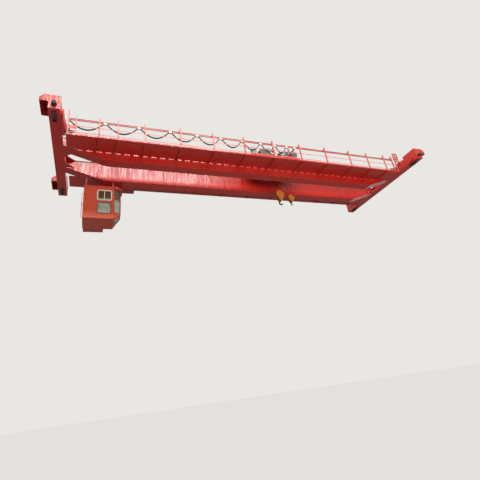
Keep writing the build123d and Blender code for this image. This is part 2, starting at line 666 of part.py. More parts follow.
def cable_carrier(place_x):
    """Saddle below the track, two cheeks up beside its bottom flange, four rollers on it."""
    saddle_top = TRACK_BOTTOM - CARRIER_GAP
    cheek_top = TRACK_BOTTOM + CHEEK_REACH
    cheek_foot = saddle_top - 10.0
    cheek_y = (CARRIER_WIDTH - CHEEK_THICK) / 2
    roller_z = TRACK_BOTTOM + TRACK_THICK + SEAT + ROLLER_RADIUS
    with BuildPart() as carrier:
        with BuildSketch(Plane.XZ.offset(-track_y)):
            with Locations((place_x, saddle_top - CARRIER_DEPTH / 2)):
                Rectangle(CARRIER_LENGTH, CARRIER_DEPTH)
            fillet(vertices().group_by(Axis.Y)[0], SADDLE_CORNER)
        extrude(amount=CARRIER_WIDTH / 2, both=True)
        for side in (-1, 1):
            with BuildSketch(Plane.XZ.offset(-(track_y + side * cheek_y))):
                with Locations((place_x, (cheek_foot + cheek_top) / 2)):
                    Rectangle(CARRIER_LENGTH - 20.0, cheek_top - cheek_foot)
                chamfer(vertices().group_by(Axis.Y)[-1], CHEEK_REACH / 2)
            extrude(amount=CHEEK_THICK / 2, both=True)
            for along in (-ROLLER_SPREAD / 2, ROLLER_SPREAD / 2):
                roller_y = track_y + side * (CARRIER_WIDTH / 2 - CHEEK_THICK / 2 - ROLLER_LENGTH / 2)
                with Locations((place_x + along, roller_y, roller_z)):
                    Cylinder(ROLLER_RADIUS, ROLLER_LENGTH, rotation=(90, 0, 0))
    return carrier.part


for number, place_x in enumerate(CARRIER_PLACES, start=1):
    save(cable_carrier(place_x), f"cable_carrier_{number}")


def hanging_points(start_x, end_x):
    """Points of a cable loop that hangs between two saddles."""
    span = end_x - start_x
    return [(start_x + span * along, track_y, cable_top - CABLE_SAG * drop) for along, drop in LOOP_SHAPE]


def corner_radii(points):
    """The largest tangent arc that fits each inner corner of a route."""
    radii = []
    for before, corner, after in zip(points, points[1:], points[2:]):
        first = Vector(*corner) - Vector(*before)
        second = Vector(*after) - Vector(*corner)
        half_turn = math.radians(first.get_angle(second) / 2)
        radii.append(0.45 * min(first.length, second.length) / math.tan(half_turn))
    return radii


def cable_tube(points, radius):
    """A round tube along straight runs joined by tangent arcs."""
    radii = corner_radii(points)
    with BuildPart() as tube:
        with BuildLine() as route:
            FilletPolyline(*points, radius=radii)
        with BuildSketch(Plane(route.line @ 0, z_dir=route.line % 0)):
            Circle(radius)
        sweep(path=route.line)
    print("cable radii", [round(value) for value in radii])
    return tube.part


def cable_exit(span):
    """How far from a saddle's end face a loop of this span starts, so that its end just clears it."""
    along, drop = LOOP_SHAPE[1]
    first_run = (span * along, CABLE_SAG * drop)
    return CABLE_RADIUS * first_run[1] / math.hypot(*first_run) + SEAT


faces = [clamp_face]
for place in CARRIER_PLACES:
    faces += [place - CARRIER_LENGTH / 2, place + CARRIER_LENGTH / 2]
loops = []
for left_face, right_face in zip(faces[0::2], faces[1::2]):
    leave = cable_exit(right_face - left_face)
    loops.append(cable_tube(hanging_points(left_face + leave, right_face - leave), CABLE_RADIUS))
save(Compound(children=loops), "hanging_cables")

# Trolley frame: side beams over the rails, cross beams and deck plates between them
frame_bottom = RAIL_TOP + TROLLEY_RIDE
frame_top = frame_bottom + TROLLEY_BEAM_DEPTH
trolley_left = TROLLEY_PLACE - TROLLEY_LENGTH / 2
trolley_right = TROLLEY_PLACE + TROLLEY_LENGTH / 2
trolley_wheel_places = [TROLLEY_PLACE + side * TROLLEY_WHEEL_BASE / 2 for side in (-1, 1)]
wheel_axis = RAIL_TOP + TROLLEY_WHEEL_RADIUS + SEAT
main_fall_places = (MAIN_BLOCK_PLACE - MAIN_SHEAVE_RADIUS, MAIN_BLOCK_PLACE + MAIN_SHEAVE_RADIUS)
aux_fall_places = (AUX_BLOCK_PLACE - AUX_SHEAVE_RADIUS, AUX_BLOCK_PLACE + AUX_SHEAVE_RADIUS)
main_drum_place = main_fall_places[0] - MAIN_DRUM_RADIUS
aux_drum_place = aux_fall_places[1] + AUX_DRUM_RADIUS
cross_beam_places = (
    trolley_left + CROSS_BEAM_WIDTH / 2,
    main_drum_place,
    (main_fall_places[1] + aux_fall_places[0]) / 2,
    aux_drum_place,
    trolley_right - CROSS_BEAM_WIDTH / 2,
)
deck_base = frame_top + TROLLEY_PLATE
axle_bore = TROLLEY_AXLE_RADIUS + SEAT
with BuildPart() as trolley_frame:
    for side in (-1, 1):
        with Locations((TROLLEY_PLACE, side * GIRDER_SPACING / 2, (frame_bottom + frame_top) / 2)):
            Box(TROLLEY_LENGTH, TROLLEY_BEAM_WIDTH, TROLLEY_BEAM_DEPTH)
        for wheel_x in trolley_wheel_places:
            slot_top = wheel_axis + TROLLEY_WHEEL_RADIUS + 35.0
            slot_bottom = frame_bottom - 10.0
            with Locations((wheel_x, side * GIRDER_SPACING / 2, (slot_bottom + slot_top) / 2)):
                Box(440.0, 150.0, slot_top - slot_bottom, mode=Mode.SUBTRACT)
            with Locations((wheel_x, side * GIRDER_SPACING / 2, wheel_axis)):
                Cylinder(axle_bore, 2 * TROLLEY_BEAM_WIDTH, rotation=(90, 0, 0), mode=Mode.SUBTRACT)
    inner_gap = GIRDER_SPACING - TROLLEY_BEAM_WIDTH
    for place_x in cross_beam_places:
        with Locations((place_x, 0.0, frame_top - CROSS_BEAM_DEPTH / 2)):
            Box(CROSS_BEAM_WIDTH, inner_gap, CROSS_BEAM_DEPTH)
save(trolley_frame.part, "trolley_frame")

with BuildPart() as trolley_wheels:
    for side in (-1, 1):
        for wheel_x in trolley_wheel_places:
            with Locations((wheel_x, side * GIRDER_SPACING / 2, wheel_axis)):
                Cylinder(TROLLEY_WHEEL_RADIUS, 80.0, rotation=(90, 0, 0))
                Cylinder(TROLLEY_AXLE_RADIUS, TROLLEY_BEAM_WIDTH + 30.0, rotation=(90, 0, 0))
            with Locations((wheel_x, side * (GIRDER_SPACING / 2 + 50.0), wheel_axis)):
                Cylinder(TROLLEY_WHEEL_RADIUS + 20.0, 20.0, rotation=(90, 0, 0))
save(trolley_wheels.part, "trolley_wheels")


def rope_drum(place_x, radius, rope_radius):
    """A drum with a raised flange at each end, its axis along Y; radius is to the rope's middle."""
    with BuildPart() as drum:
        with Locations((place_x, 0.0, DRUM_AXIS_HEIGHT)):
            Cylinder(radius - rope_radius - ROPE_CLEAR, DRUM_LENGTH, rotation=(90, 0, 0))
            Cylinder(DRUM_SHAFT_RADIUS, DRUM_LENGTH + 2 * DRUM_BEARING_GAP, rotation=(90, 0, 0))
        for side in (-1, 1):
            with Locations((place_x, side * DRUM_LENGTH / 2, DRUM_AXIS_HEIGHT)):
                Cylinder(radius + 50.0, 24.0, rotation=(90, 0, 0))
    return drum.part


drums = [
    rope_drum(main_drum_place, MAIN_DRUM_RADIUS, MAIN_ROPE_RADIUS),
    rope_drum(aux_drum_place, AUX_DRUM_RADIUS, AUX_ROPE_RADIUS),
]
save(Compound(children=drums), "rope_drums")

# Bearing pedestals: a tapered foot below a round bearing at each drum end
with BuildPart() as drum_pedestals:
    for place_x in (main_drum_place, aux_drum_place):
        for side in (-1, 1):
            pedestal_y = side * (DRUM_LENGTH / 2 + 80.0)
            with BuildSketch(Plane.XZ.offset(-pedestal_y)):
                with Locations((place_x, DRUM_AXIS_HEIGHT)):
                    Circle(100.0)
                with Locations((place_x, deck_base + 15.0)):
                    Rectangle(320.0, 30.0)
                make_hull()
                with Locations((place_x, DRUM_AXIS_HEIGHT)):
                    Circle(DRUM_SHAFT_RADIUS + SEAT, mode=Mode.SUBTRACT)
            extrude(amount=40.0, both=True)
save(drum_pedestals.part, "drum_pedestals")

# Hoist machinery: gearboxes at the near ends of the drums, motors beside the drums, brakes between
gear_face = -(DRUM_LENGTH / 2 + DRUM_BEARING_GAP)
gear_y = gear_face - GEARBOX_WIDTH / 2
main_motor_place = main_drum_place - MAIN_GEAR_CENTRES
aux_motor_place = aux_drum_place - AUX_GEAR_CENTRES
motor_height = frame_top + MOTOR_HEIGHT
gearboxes = (
    (main_motor_place, main_drum_place, MAIN_GEAR_HULL),
    (aux_motor_place, aux_drum_place, AUX_GEAR_HULL),
)
covers = (
    (main_drum_place, DRUM_AXIS_HEIGHT, MAIN_COVER_RADIUS),
    (aux_motor_place, motor_height, AUX_COVER_RADIUS),
)
with BuildPart() as hoist_gearboxes:
    for motor_x, drum_x, (motor_end, drum_end) in gearboxes:
        with BuildSketch(Plane.XZ.offset(-gear_y)):
            with Locations((motor_x, motor_height)):
                Circle(motor_end)
            with Locations((drum_x, DRUM_AXIS_HEIGHT)):
                Circle(drum_end)
            with Locations(((motor_x + drum_x) / 2, deck_base + 20.0)):
                Rectangle(drum_x - motor_x + motor_end, 40.0)
            make_hull()
        extrude(amount=GEARBOX_WIDTH / 2, both=True)
        # the joint flange between the casing's lower and upper half
        flange_start = motor_x - motor_end - 30.0
        flange_end = drum_x + drum_end + 30.0
        with Locations(((flange_start + flange_end) / 2, gear_y, DRUM_AXIS_HEIGHT - 20.0)):
            Box(flange_end - flange_start, GEARBOX_WIDTH, COVER_THICK)
    for cover_x, cover_z, cover_radius in covers:
        with Locations((cover_x, gear_y - (GEARBOX_WIDTH + COVER_THICK) / 2, cover_z)):
            Cylinder(cover_radius, COVER_THICK, rotation=(90, 0, 0))
save(hoist_gearboxes.part, "hoist_gearboxes")

motors = (
    (main_motor_place, MAIN_MOTOR_RADIUS, MAIN_MOTOR_LENGTH, MAIN_BRAKE_REACH),
    (aux_motor_place, AUX_MOTOR_RADIUS, AUX_MOTOR_LENGTH, AUX_BRAKE_REACH),
)
with BuildPart() as hoist_motors:
    for place_x, radius, length, reach in motors:
        motor_y = gear_face + reach + length / 2
        with Locations((place_x, motor_y, motor_height)):
            Cylinder(radius, length, rotation=(90, 0, 0))
        with Locations((place_x, motor_y, (deck_base + motor_height) / 2)):
            Box(1.6 * radius, 0.7 * length, motor_height - deck_base)
        # terminal box
        with Locations((place_x + 0.6 * radius, motor_y, motor_height + 0.75 * radius)):
            Box(0.5 * radius, 0.3 * length, 0.6 * radius)
save(hoist_motors.part, "hoist_motors")

brakes = (
    (main_motor_place, MAIN_BRAKE_RADIUS, MAIN_BRAKE_REACH),
    (aux_motor_place, AUX_BRAKE_RADIUS, AUX_BRAKE_REACH),
)
with BuildPart() as hoist_brakes:
    for place_x, radius, reach in brakes:
        brake_y = gear_face + reach / 2
        shoe_bottom = motor_height - 0.9 * radius
        arm_top = motor_height + 0.8 * MAIN_BRAKE_RADIUS
        with Locations((place_x, brake_y, motor_height)):
            Cylinder(COUPLING_RADIUS, reach - 2 * SEAT, rotation=(90, 0, 0))
            Cylinder(radius, BRAKE_WIDTH, rotation=(90, 0, 0))
        with Locations((place_x, brake_y, (deck_base + shoe_bottom) / 2)):
            Box(1.6 * radius, BRAKE_WIDTH, shoe_bottom - deck_base)
        for side in (-1, 1):
            arm_x = place_x + side * (radius + BRAKE_ARM / 2)
            with Locations((arm_x, brake_y, (deck_base + arm_top) / 2)):
                Box(BRAKE_ARM, BRAKE_WIDTH - 20.0, arm_top - deck_base)
save(hoist_brakes.part, "hoist_brakes")

# Limit-switch box on the near face of the smaller gearbox
with BuildPart() as switch_box:
    box_y = gear_y - (GEARBOX_WIDTH + SWITCH_BOX_DEPTH) / 2
    with Locations((SWITCH_BOX_PLACE, box_y, SWITCH_BOX_MIDDLE)):
        Box(SWITCH_BOX_WIDTH, SWITCH_BOX_DEPTH, SWITCH_BOX_HEIGHT)
        edges = switch_box.edges().filter_by(Axis.Y)
    fillet(edges, 20.0)
save(switch_box.part, "switch_box")

# Trolley travel drive on the left cross beam: an upright gearbox, its motor and a cabinet beside them
with BuildPart() as trolley_drive:
    drive_x = cross_beam_places[0] + DRIVE_LENGTH / 2
    with Locations((drive_x, DRIVE_BOX_Y, deck_base + DRIVE_BOX_HEIGHT / 2)):
        Box(DRIVE_LENGTH, DRIVE_BOX_WIDTH, DRIVE_BOX_HEIGHT)
    with Locations((drive_x, DRIVE_MOTOR_Y, deck_base + DRIVE_MOTOR_HEIGHT)):
        Cylinder(DRIVE_MOTOR_RADIUS, DRIVE_LENGTH, rotation=(90, 0, 0))
    with Locations((drive_x, DRIVE_MOTOR_Y, deck_base + DRIVE_MOTOR_RADIUS / 2)):
        Box(200.0, 240.0, DRIVE_MOTOR_RADIUS)
    with Locations((drive_x, CABINET_Y, deck_base + CABINET_HEIGHT / 2)):
        Box(DRIVE_LENGTH, CABINET_WIDTH, CABINET_HEIGHT)
save(trolley_drive.part, "trolley_drive")

# Deck plate over the trolley frame with wells for the ropes
with BuildPart() as trolley_deck:
    with Locations((TROLLEY_PLACE, 0.0, frame_top + TROLLEY_PLATE / 2)):
        Box(TROLLEY_LENGTH, GIRDER_SPACING + TROLLEY_BEAM_WIDTH, TROLLEY_PLATE)
    for falls in (main_fall_places, aux_fall_places):
        with Locations(((falls[0] + falls[1]) / 2, 0.0, frame_top + TROLLEY_PLATE / 2)):
            Box(falls[1] - falls[0] + 110.0, 2 * WELL_HALF, 2 * TROLLEY_PLATE, mode=Mode.SUBTRACT)
save(trolley_deck.part, "trolley_deck")

# Beams across the wells that hold the standing ends of the ropes
with BuildPart() as rope_anchors:
    for place_x in (main_fall_places[1], aux_fall_places[0]):
        with Locations((place_x, 0.0, deck_base + ROPE_ANCHOR_DEPTH / 2)):
            Box(ROPE_ANCHOR_WIDTH, 2 * WELL_HALF + 120.0, ROPE_ANCHOR_DEPTH)
save(rope_anchors.part, "rope_anchors")


def rope_falls(place_x, spread, low_z, high_z, radius):
    """Two straight rope falls side by side."""
    with BuildPart() as falls:
        for side in (-1, 1):
            with Locations((place_x, side * spread / 2, (low_z + high_z) / 2)):
                Cylinder(radius, high_z - low_z)
    return falls.part


save(
    rope_falls(main_fall_places[0], MAIN_FALL_SPREAD, MAIN_SHEAVE_HEIGHT, DRUM_AXIS_HEIGHT, MAIN_ROPE_RADIUS),
    "main_drum_ropes",
)
save(
    rope_falls(main_fall_places[1], MAIN_FALL_SPREAD, MAIN_SHEAVE_HEIGHT, deck_base, MAIN_ROPE_RADIUS),
    "main_anchor_ropes",
)
save(
    rope_falls(aux_fall_places[1], AUX_FALL_SPREAD, AUX_SHEAVE_HEIGHT, DRUM_AXIS_HEIGHT, AUX_ROPE_RADIUS),
    "aux_drum_ropes",
)
save(
    rope_falls(aux_fall_places[0], AUX_FALL_SPREAD, AUX_SHEAVE_HEIGHT, deck_base, AUX_ROPE_RADIUS),
    "aux_anchor_ropes",
)

# Arm that pulls the last cable carrier along
tow_x = CARRIER_PLACES[-1]
tow_start = -(GIRDER_SPACING / 2 + TROLLEY_BEAM_WIDTH / 2)
tow_end = track_y + CARRIER_WIDTH / 2 + 8.0
with BuildPart() as tow_arm:
    with Locations((tow_x, (tow_start + tow_end) / 2, cable_top)):
        Box(CARRIER_LENGTH / 2, tow_start - tow_end, CARRIER_DEPTH - 10.0)
save(tow_arm.part, "tow_arm")


def block_body(place_x, sheave_z, sheave_radius, cross_drop, spread, shank_radius):
    """Cheek plates either side of the sheaves, with the crosshead that carries the hook."""
    cheek_y = spread / 2 + BLOCK_CHEEK_GAP
    cross_z = sheave_z - cross_drop
    with BuildPart() as body:
        for side in (-1, 1):
            with BuildSketch(Plane.XZ.offset(-side * cheek_y)):
                with Locations((place_x, sheave_z)):
                    Circle(sheave_radius + BLOCK_RIM)
                with Locations((place_x, cross_z)):
                    Circle(2.2 * shank_radius)
                make_hull()
            extrude(amount=BLOCK_PLATE / 2, both=True)
        with Locations((place_x, 0.0, sheave_z)):
            Cylinder(PIN_SHARE * sheave_radius, 2 * cheek_y + 60.0, rotation=(90, 0, 0))
        with Locations((place_x, 0.0, cross_z)):
            Box(3.2 * shank_radius, 2 * cheek_y, 2.2 * shank_radius)
            Cylinder(shank_radius + SHANK_CLEAR, 3 * shank_radius, mode=Mode.SUBTRACT)
    return body.part


def sheaves(place_x, sheave_z, sheave_radius, rope_radius, spread):
    """Two grooved sheaves on the block's pin."""
    pin_bore = PIN_SHARE * sheave_radius + SEAT
    drum_width = 4 * rope_radius
    with BuildPart() as wheels:
        for side in (-1, 1):
            middle_y = side * spread / 2
            with Locations((place_x, middle_y, sheave_z)):
                Cylinder(sheave_radius - rope_radius - ROPE_CLEAR, drum_width, rotation=(90, 0, 0))
            for rim in (-1, 1):
                with Locations((place_x, middle_y + rim * 1.75 * rope_radius, sheave_z)):
                    Cylinder(sheave_radius + rope_radius + 10.0, rope_radius, rotation=(90, 0, 0))
            with Locations((place_x, middle_y, sheave_z)):
                Cylinder(pin_bore, 5 * rope_radius, rotation=(90, 0, 0), mode=Mode.SUBTRACT)
    return wheels.part


def shank_hook(place_x, cross_z, shank_radius):
    """A single hook: round shank and nut, a bowl that is thickest below, a mouth cut to one side.

    Every size is a multiple of the shank's radius, as in a forged hook's table.
    """
    bowl = HOOK_BOWL * shank_radius
    bowl_z = cross_z - HOOK_DROP * shank_radius
    off_centre = HOOK_OFFSET * shank_radius
    mouth_x = place_x + 1.3 * shank_radius
    mouth_end = place_x + 4.5 * shank_radius
    mouth_top = bowl_z + 4.5 * shank_radius
    with BuildPart() as hook:
        with BuildSketch(Plane.XZ):
            with Locations((place_x, bowl_z)):
                Circle(2 * bowl)
            with Locations((place_x, cross_z - 2.9 * shank_radius)):
                Rectangle(2.4 * shank_radius, 2.2 * shank_radius)
            with Locations((place_x + off_centre, bowl_z + off_centre)):
                Circle(bowl, mode=Mode.SUBTRACT)
            with BuildLine():
                Polyline(
                    (mouth_x, bowl_z + 1.2 * shank_radius),
                    (mouth_end, bowl_z + 0.5 * shank_radius),
                    (mouth_end, mouth_top),
                    (mouth_x, mouth_top),
                    close=True,
                )
            make_face(mode=Mode.SUBTRACT)
        extrude(amount=HOOK_THICK / 2 * shank_radius, both=True)
        bowl_rims = hook.edges().filter_by(GeomType.CIRCLE).filter_by(lambda rim: rim.length > 3 * bowl)
        chamfer(bowl_rims, 0.3 * shank_radius)
        with Locations((place_x, 0.0, cross_z - 0.6 * shank_radius)):
            Cylinder(shank_radius, 5.0 * shank_radius)
        with Locations((place_x, 0.0, cross_z + 1.6 * shank_radius + SHANK_SEAT)):
            Cylinder(1.5 * shank_radius, shank_radius)
    return hook.part


main_block = (MAIN_BLOCK_PLACE, MAIN_SHEAVE_HEIGHT, MAIN_SHEAVE_RADIUS)
aux_block = (AUX_BLOCK_PLACE, AUX_SHEAVE_HEIGHT, AUX_SHEAVE_RADIUS)
save(block_body(*main_block, MAIN_CROSS_DROP, MAIN_FALL_SPREAD, MAIN_SHANK), "main_block")
save(sheaves(*main_block, MAIN_ROPE_RADIUS, MAIN_FALL_SPREAD), "main_sheaves")
save(shank_hook(MAIN_BLOCK_PLACE, MAIN_SHEAVE_HEIGHT - MAIN_CROSS_DROP, MAIN_SHANK), "main_hook")
save(block_body(*aux_block, AUX_CROSS_DROP, AUX_FALL_SPREAD, AUX_SHANK), "aux_block")
save(sheaves(*aux_block, AUX_ROPE_RADIUS, AUX_FALL_SPREAD), "aux_sheaves")
save(shank_hook(AUX_BLOCK_PLACE, AUX_SHEAVE_HEIGHT - AUX_CROSS_DROP, AUX_SHANK), "aux_hook")

# Cabin, seen from above: a room with a corner windscreen in front and a longer one behind
cabin_plan = [
    (CABIN_LEFT, CABIN_FRONT),
    (CABIN_CORNER, CABIN_FRONT),
    (CABIN_NOSE, CABIN_FRONT + CORNER_DEPTH),
    (CABIN_NOSE, CABIN_BACK - BACK_CORNER_DEPTH),
    (CABIN_CORNER, CABIN_BACK),
    (CABIN_LEFT, CABIN_BACK),
]
slant_length = math.hypot(SLANT_REACH, SLANT_RISE)


def plan_corners(inset):
    """Corners of the cabin's plan with every wall moved in by the same amount."""
    corners = []
    for i, corner in enumerate(cabin_plan):
        before = Vector(*corner) - Vector(*cabin_plan[i - 1])
        after = Vector(*cabin_plan[(i + 1) % len(cabin_plan)]) - Vector(*corner)
        first, second = [Vector(-edge.Y, edge.X, 0.0).normalized() for edge in (before, after)]
        step = (first + second) * (inset / (1 + first.dot(second)))
        corners.append((corner[0] + step.X, corner[1] + step.Y))
    return corners


def below_slant(inset):
    """Wedge that the slanted panel cuts off the cabin's nose, its face moved in by inset."""
    slant_x = CABIN_NOSE - inset * slant_length / SLANT_RISE
    slant_top = CABIN_FLOOR + SLANT_RISE
    with BuildPart() as wedge:
        with BuildSketch(Plane.XZ.offset(-CABIN_FRONT)):
            with BuildLine():
                Polyline(
                    (slant_x - 2 * SLANT_REACH, slant_top - 2 * SLANT_RISE),
                    (slant_x + SLANT_REACH, slant_top + SLANT_RISE),
                    (slant_x + SLANT_REACH, slant_top - 2 * SLANT_RISE),
                    close=True,
                )
            make_face()
        extrude(amount=-(CABIN_BACK - CABIN_FRONT))
    return wedge.part


def wall_plane(start, end, along, height):
    """Plane on a cabin wall's outer face, x along the wall, normal outwards, at a window's middle."""
    run = Vector(end[0] - start[0], end[1] - start[1], 0.0).normalized()
    middle = Vector(start[0], start[1], height) + run * along
    return Plane(origin=middle, x_dir=run, z_dir=run.cross(Vector(0.0, 0.0, 1.0)))


# Windows: number of the wall in the plan, middle along it, middle height, width, height
corner_length = math.hypot(CABIN_NOSE - CABIN_CORNER, CORNER_DEPTH)
back_corner_length = math.hypot(CABIN_NOSE - CABIN_CORNER, BACK_CORNER_DEPTH)
nose_length = CABIN_BACK - BACK_CORNER_DEPTH - CABIN_FRONT - CORNER_DEPTH
front_middle = FRONT_WINDOW_MIDDLE - CABIN_LEFT
windows = [
    (0, front_middle, -1485.0, 700.0, 570.0),
    (0, front_middle, -2305.0, 680.0, 660.0),
]
for wall, length in ((1, corner_length), (2, nose_length), (3, back_corner_length)):
    windows.append((wall, length / 2, UPPER_PANE_MIDDLE, length - 110.0, UPPER_PANE_HEIGHT))
    windows.append((wall, length / 2, LOWER_PANE_MIDDLE, length - 110.0, LOWER_PANE_HEIGHT))
panes = []
for wall, along, height, width, tall in windows:
    panes.append((wall_plane(cabin_plan[wall], cabin_plan[wall + 1], along, height), width, tall))
slant_x = CABIN_NOSE - SLANT_REACH / 2
slant_y = CABIN_FRONT + CORNER_DEPTH + nose_length / 2
slant_plane = Plane(
    origin=(slant_x, slant_y, CABIN_FLOOR + SLANT_RISE / 2),
    x_dir=(0.0, 1.0, 0.0),
    z_dir=(SLANT_RISE, 0.0, -SLANT_REACH),
)
panes.append((slant_plane, nose_length - 60.0, slant_length - 150.0))
framed_pane, *rubber_panes = panes

with BuildPart() as wall_openings:
    for plane, width, tall in panes:
        with BuildSketch(plane.offset(-3 * CABIN_WALL)):
            RectangleRounded(width, tall, WINDOW_CORNER)
        extrude(amount=4 * CABIN_WALL)


def cabin_sheet(outline, base, height, slanted=False):
    """One welded sheet of the cabin: a level or upright one, or the slanted one under the nose."""
    with BuildPart() as sheet:
        with BuildSketch(Plane.XY.offset(base)):
            with BuildLine():
                Polyline(*outline, close=True)
            make_face()
        extrude(amount=height)
        add(below_slant(CABIN_WALL), mode=Mode.INTERSECT if slanted else Mode.SUBTRACT)
        if slanted:
            add(below_slant(0.0), mode=Mode.SUBTRACT)
        add(wall_openings.part, mode=Mode.SUBTRACT)
    return sheet.part


inner_plan = plan_corners(CABIN_WALL)
room_height = CABIN_ROOF - CABIN_FLOOR - 2 * CABIN_WALL
cabin_sheets = [
    cabin_sheet(cabin_plan, CABIN_FLOOR, CABIN_WALL),
    cabin_sheet(cabin_plan, CABIN_ROOF - CABIN_WALL, CABIN_WALL),
    cabin_sheet(cabin_plan, CABIN_FLOOR, 2 * SLANT_RISE, slanted=True),
]
# the last wall, at the back, is welded of one sheet on each side of the doorway and one over it
door_left = DOOR_PLACE - DOOR_WIDTH / 2
door_right = DOOR_PLACE + DOOR_WIDTH / 2
room_back = CABIN_BACK - CABIN_WALL
walls = []
for i in range(len(cabin_plan) - 1):
    walls.append([cabin_plan[i - 1], cabin_plan[i], inner_plan[i], inner_plan[i - 1]])
walls.append([cabin_plan[-2], (door_right, CABIN_BACK), (door_right, room_back), inner_plan[-2]])
walls.append([(door_left, CABIN_BACK), cabin_plan[-1], inner_plan[-1], (door_left, room_back)])
for outline in walls:
    cabin_sheets.append(cabin_sheet(outline, CABIN_FLOOR + CABIN_WALL, room_height))
over_door = [(door_right, CABIN_BACK), (door_left, CABIN_BACK), (door_left, room_back), (door_right, room_back)]
door_head = CABIN_FLOOR + CABIN_WALL + DOOR_HEIGHT
cabin_sheets.append(cabin_sheet(over_door, door_head, room_height - DOOR_HEIGHT))
save(Compound(children=cabin_sheets), "cabin_shell")

with BuildPart() as cabin_glass:
    for plane, width, tall in panes:
        with BuildSketch(plane.offset(-GASKET_LAP)):
            RectangleRounded(width - 2 * GLASS_SEAT, tall - 2 * GLASS_SEAT, WINDOW_CORNER - GLASS_SEAT)
        extrude(amount=GLASS_THICK)
save(cabin_glass.part, "cabin_glass")

# Pale frame with a middle bar round the upper front window, rubber gaskets round the others
with BuildPart() as window_frame:
    plane, width, tall = framed_pane
    with BuildSketch(plane):
        RectangleRounded(width + 2 * FRAME_LAP, tall + 2 * FRAME_LAP, WINDOW_CORNER + FRAME_LAP)
        RectangleRounded(width - 20.0, tall - 20.0, WINDOW_CORNER - 10.0, mode=Mode.SUBTRACT)
        Rectangle(MIDDLE_BAR, tall)
    extrude(amount=FRAME_PROUD)
save(window_frame.part, "window_frame")

with BuildPart() as window_gaskets:
    for plane, width, tall in rubber_panes:
        with BuildSketch(plane):
            RectangleRounded(width + 2 * GASKET_LAP, tall + 2 * GASKET_LAP, WINDOW_CORNER + GASKET_LAP)
            RectangleRounded(width - 12.0, tall - 12.0, WINDOW_CORNER - 6.0, mode=Mode.SUBTRACT)
        extrude(amount=FRAME_PROUD / 2)
save(window_gaskets.part, "window_gaskets")

# Visor: a sheet on the roof that stands out over the windscreens, with a band hanging from its rim
visor_start = CABIN_CORNER + 70.0
band_base = CABIN_ROOF - VISOR_DEPTH
with BuildPart() as cabin_visor:
    for base, depth, hollow in ((CABIN_ROOF, VISOR_THICK, False), (band_base, VISOR_DEPTH, True)):
        with BuildSketch(Plane.XY.offset(base)):
            with BuildLine():
                Polyline(*cabin_plan, close=True)
            make_face()
            offset(amount=VISOR_REACH, kind=Kind.INTERSECTION)
            with BuildLine():
                Polyline(*cabin_plan, close=True)
            make_face()
            if hollow:
                offset(amount=-VISOR_BAND, kind=Kind.INTERSECTION, mode=Mode.SUBTRACT)
            with Locations((visor_start - CABIN_NOSE / 2, (CABIN_FRONT + CABIN_BACK) / 2)):
                Rectangle(CABIN_NOSE, 2 * CABIN_BACK, mode=Mode.SUBTRACT)
        extrude(amount=depth)
save(cabin_visor.part, "cabin_visor")

# Hangers: the front pair up to the girder's underside, the back pair to the walkway's brackets
hangers = []
for place_x in (LEFT_HANGER, RIGHT_HANGER):
    hangers.append((place_x, CABIN_FRONT + 60.0, underside(place_x + HANGER_LEG)))
bracket_underside = DECK_TOP - DECK_THICK - BRACKET_THICK - 1.0
for place_x in LEFT_POSTS:
    hangers.append((place_x + BRACKET_THICK / 2, CABIN_BACK - 150.0, bracket_underside))
with BuildPart() as cabin_hangers:
    for place_x, place_y, top in hangers:
        with BuildSketch(Plane.XY.offset(CABIN_ROOF)):
            with BuildLine():
                Polyline(
                    (place_x, place_y),
                    (place_x + HANGER_LEG, place_y),
                    (place_x + HANGER_LEG, place_y + HANGER_THICK),
                    (place_x + HANGER_THICK, place_y + HANGER_THICK),
                    (place_x + HANGER_THICK, place_y + HANGER_LEG),
                    (place_x, place_y + HANGER_LEG),
                    close=True,
                )
            make_face()
        extrude(amount=top - CABIN_ROOF)
        with Locations((place_x + HANGER_LEG / 2, place_y + HANGER_LEG / 2, CABIN_ROOF + HANGER_FOOT / 2)):
            Box(HANGER_LEG + 60.0, HANGER_LEG + 60.0, HANGER_FOOT)
save(cabin_hangers.part, "cabin_hangers")

# Grab rail at the front left corner
grab_y = CABIN_FRONT + 40.0
grab_x = CABIN_LEFT - GRAB_REACH
with BuildPart() as grab_rail:
    with BuildLine() as grab_path:
        FilletPolyline(
            (CABIN_LEFT, grab_y, GRAB_TOP),
            (grab_x, grab_y, GRAB_TOP),
            (grab_x, grab_y, GRAB_BOTTOM),
            (CABIN_LEFT, grab_y, GRAB_BOTTOM),
            radius=40.0,
        )
    with BuildSketch(Plane(grab_path.line @ 0, z_dir=grab_path.line % 0)):
        Circle(GRAB_RADIUS)
    sweep(path=grab_path.line)
save(grab_rail.part, "grab_rail")

# Landing behind the cabin, a widening of the walkway above it and the steep ladder between them
landing_top = CABIN_FLOOR + LANDING_THICK
ladder_y = CABIN_BACK + LANDING_DEPTH - LADDER_WIDTH / 2
platform_edge = WALKWAY_EDGE + PLATFORM_REACH
deck_bottom = DECK_TOP - DECK_THICK
ladder_foot = LANDING_RIGHT - 260.0
ladder_head = PLATFORM_LEFT + 100.0
landing_middle = (LANDING_LEFT + LANDING_RIGHT) / 2
platform_middle = (PLATFORM_LEFT + PLATFORM_RIGHT) / 2
platform_length = PLATFORM_RIGHT - PLATFORM_LEFT
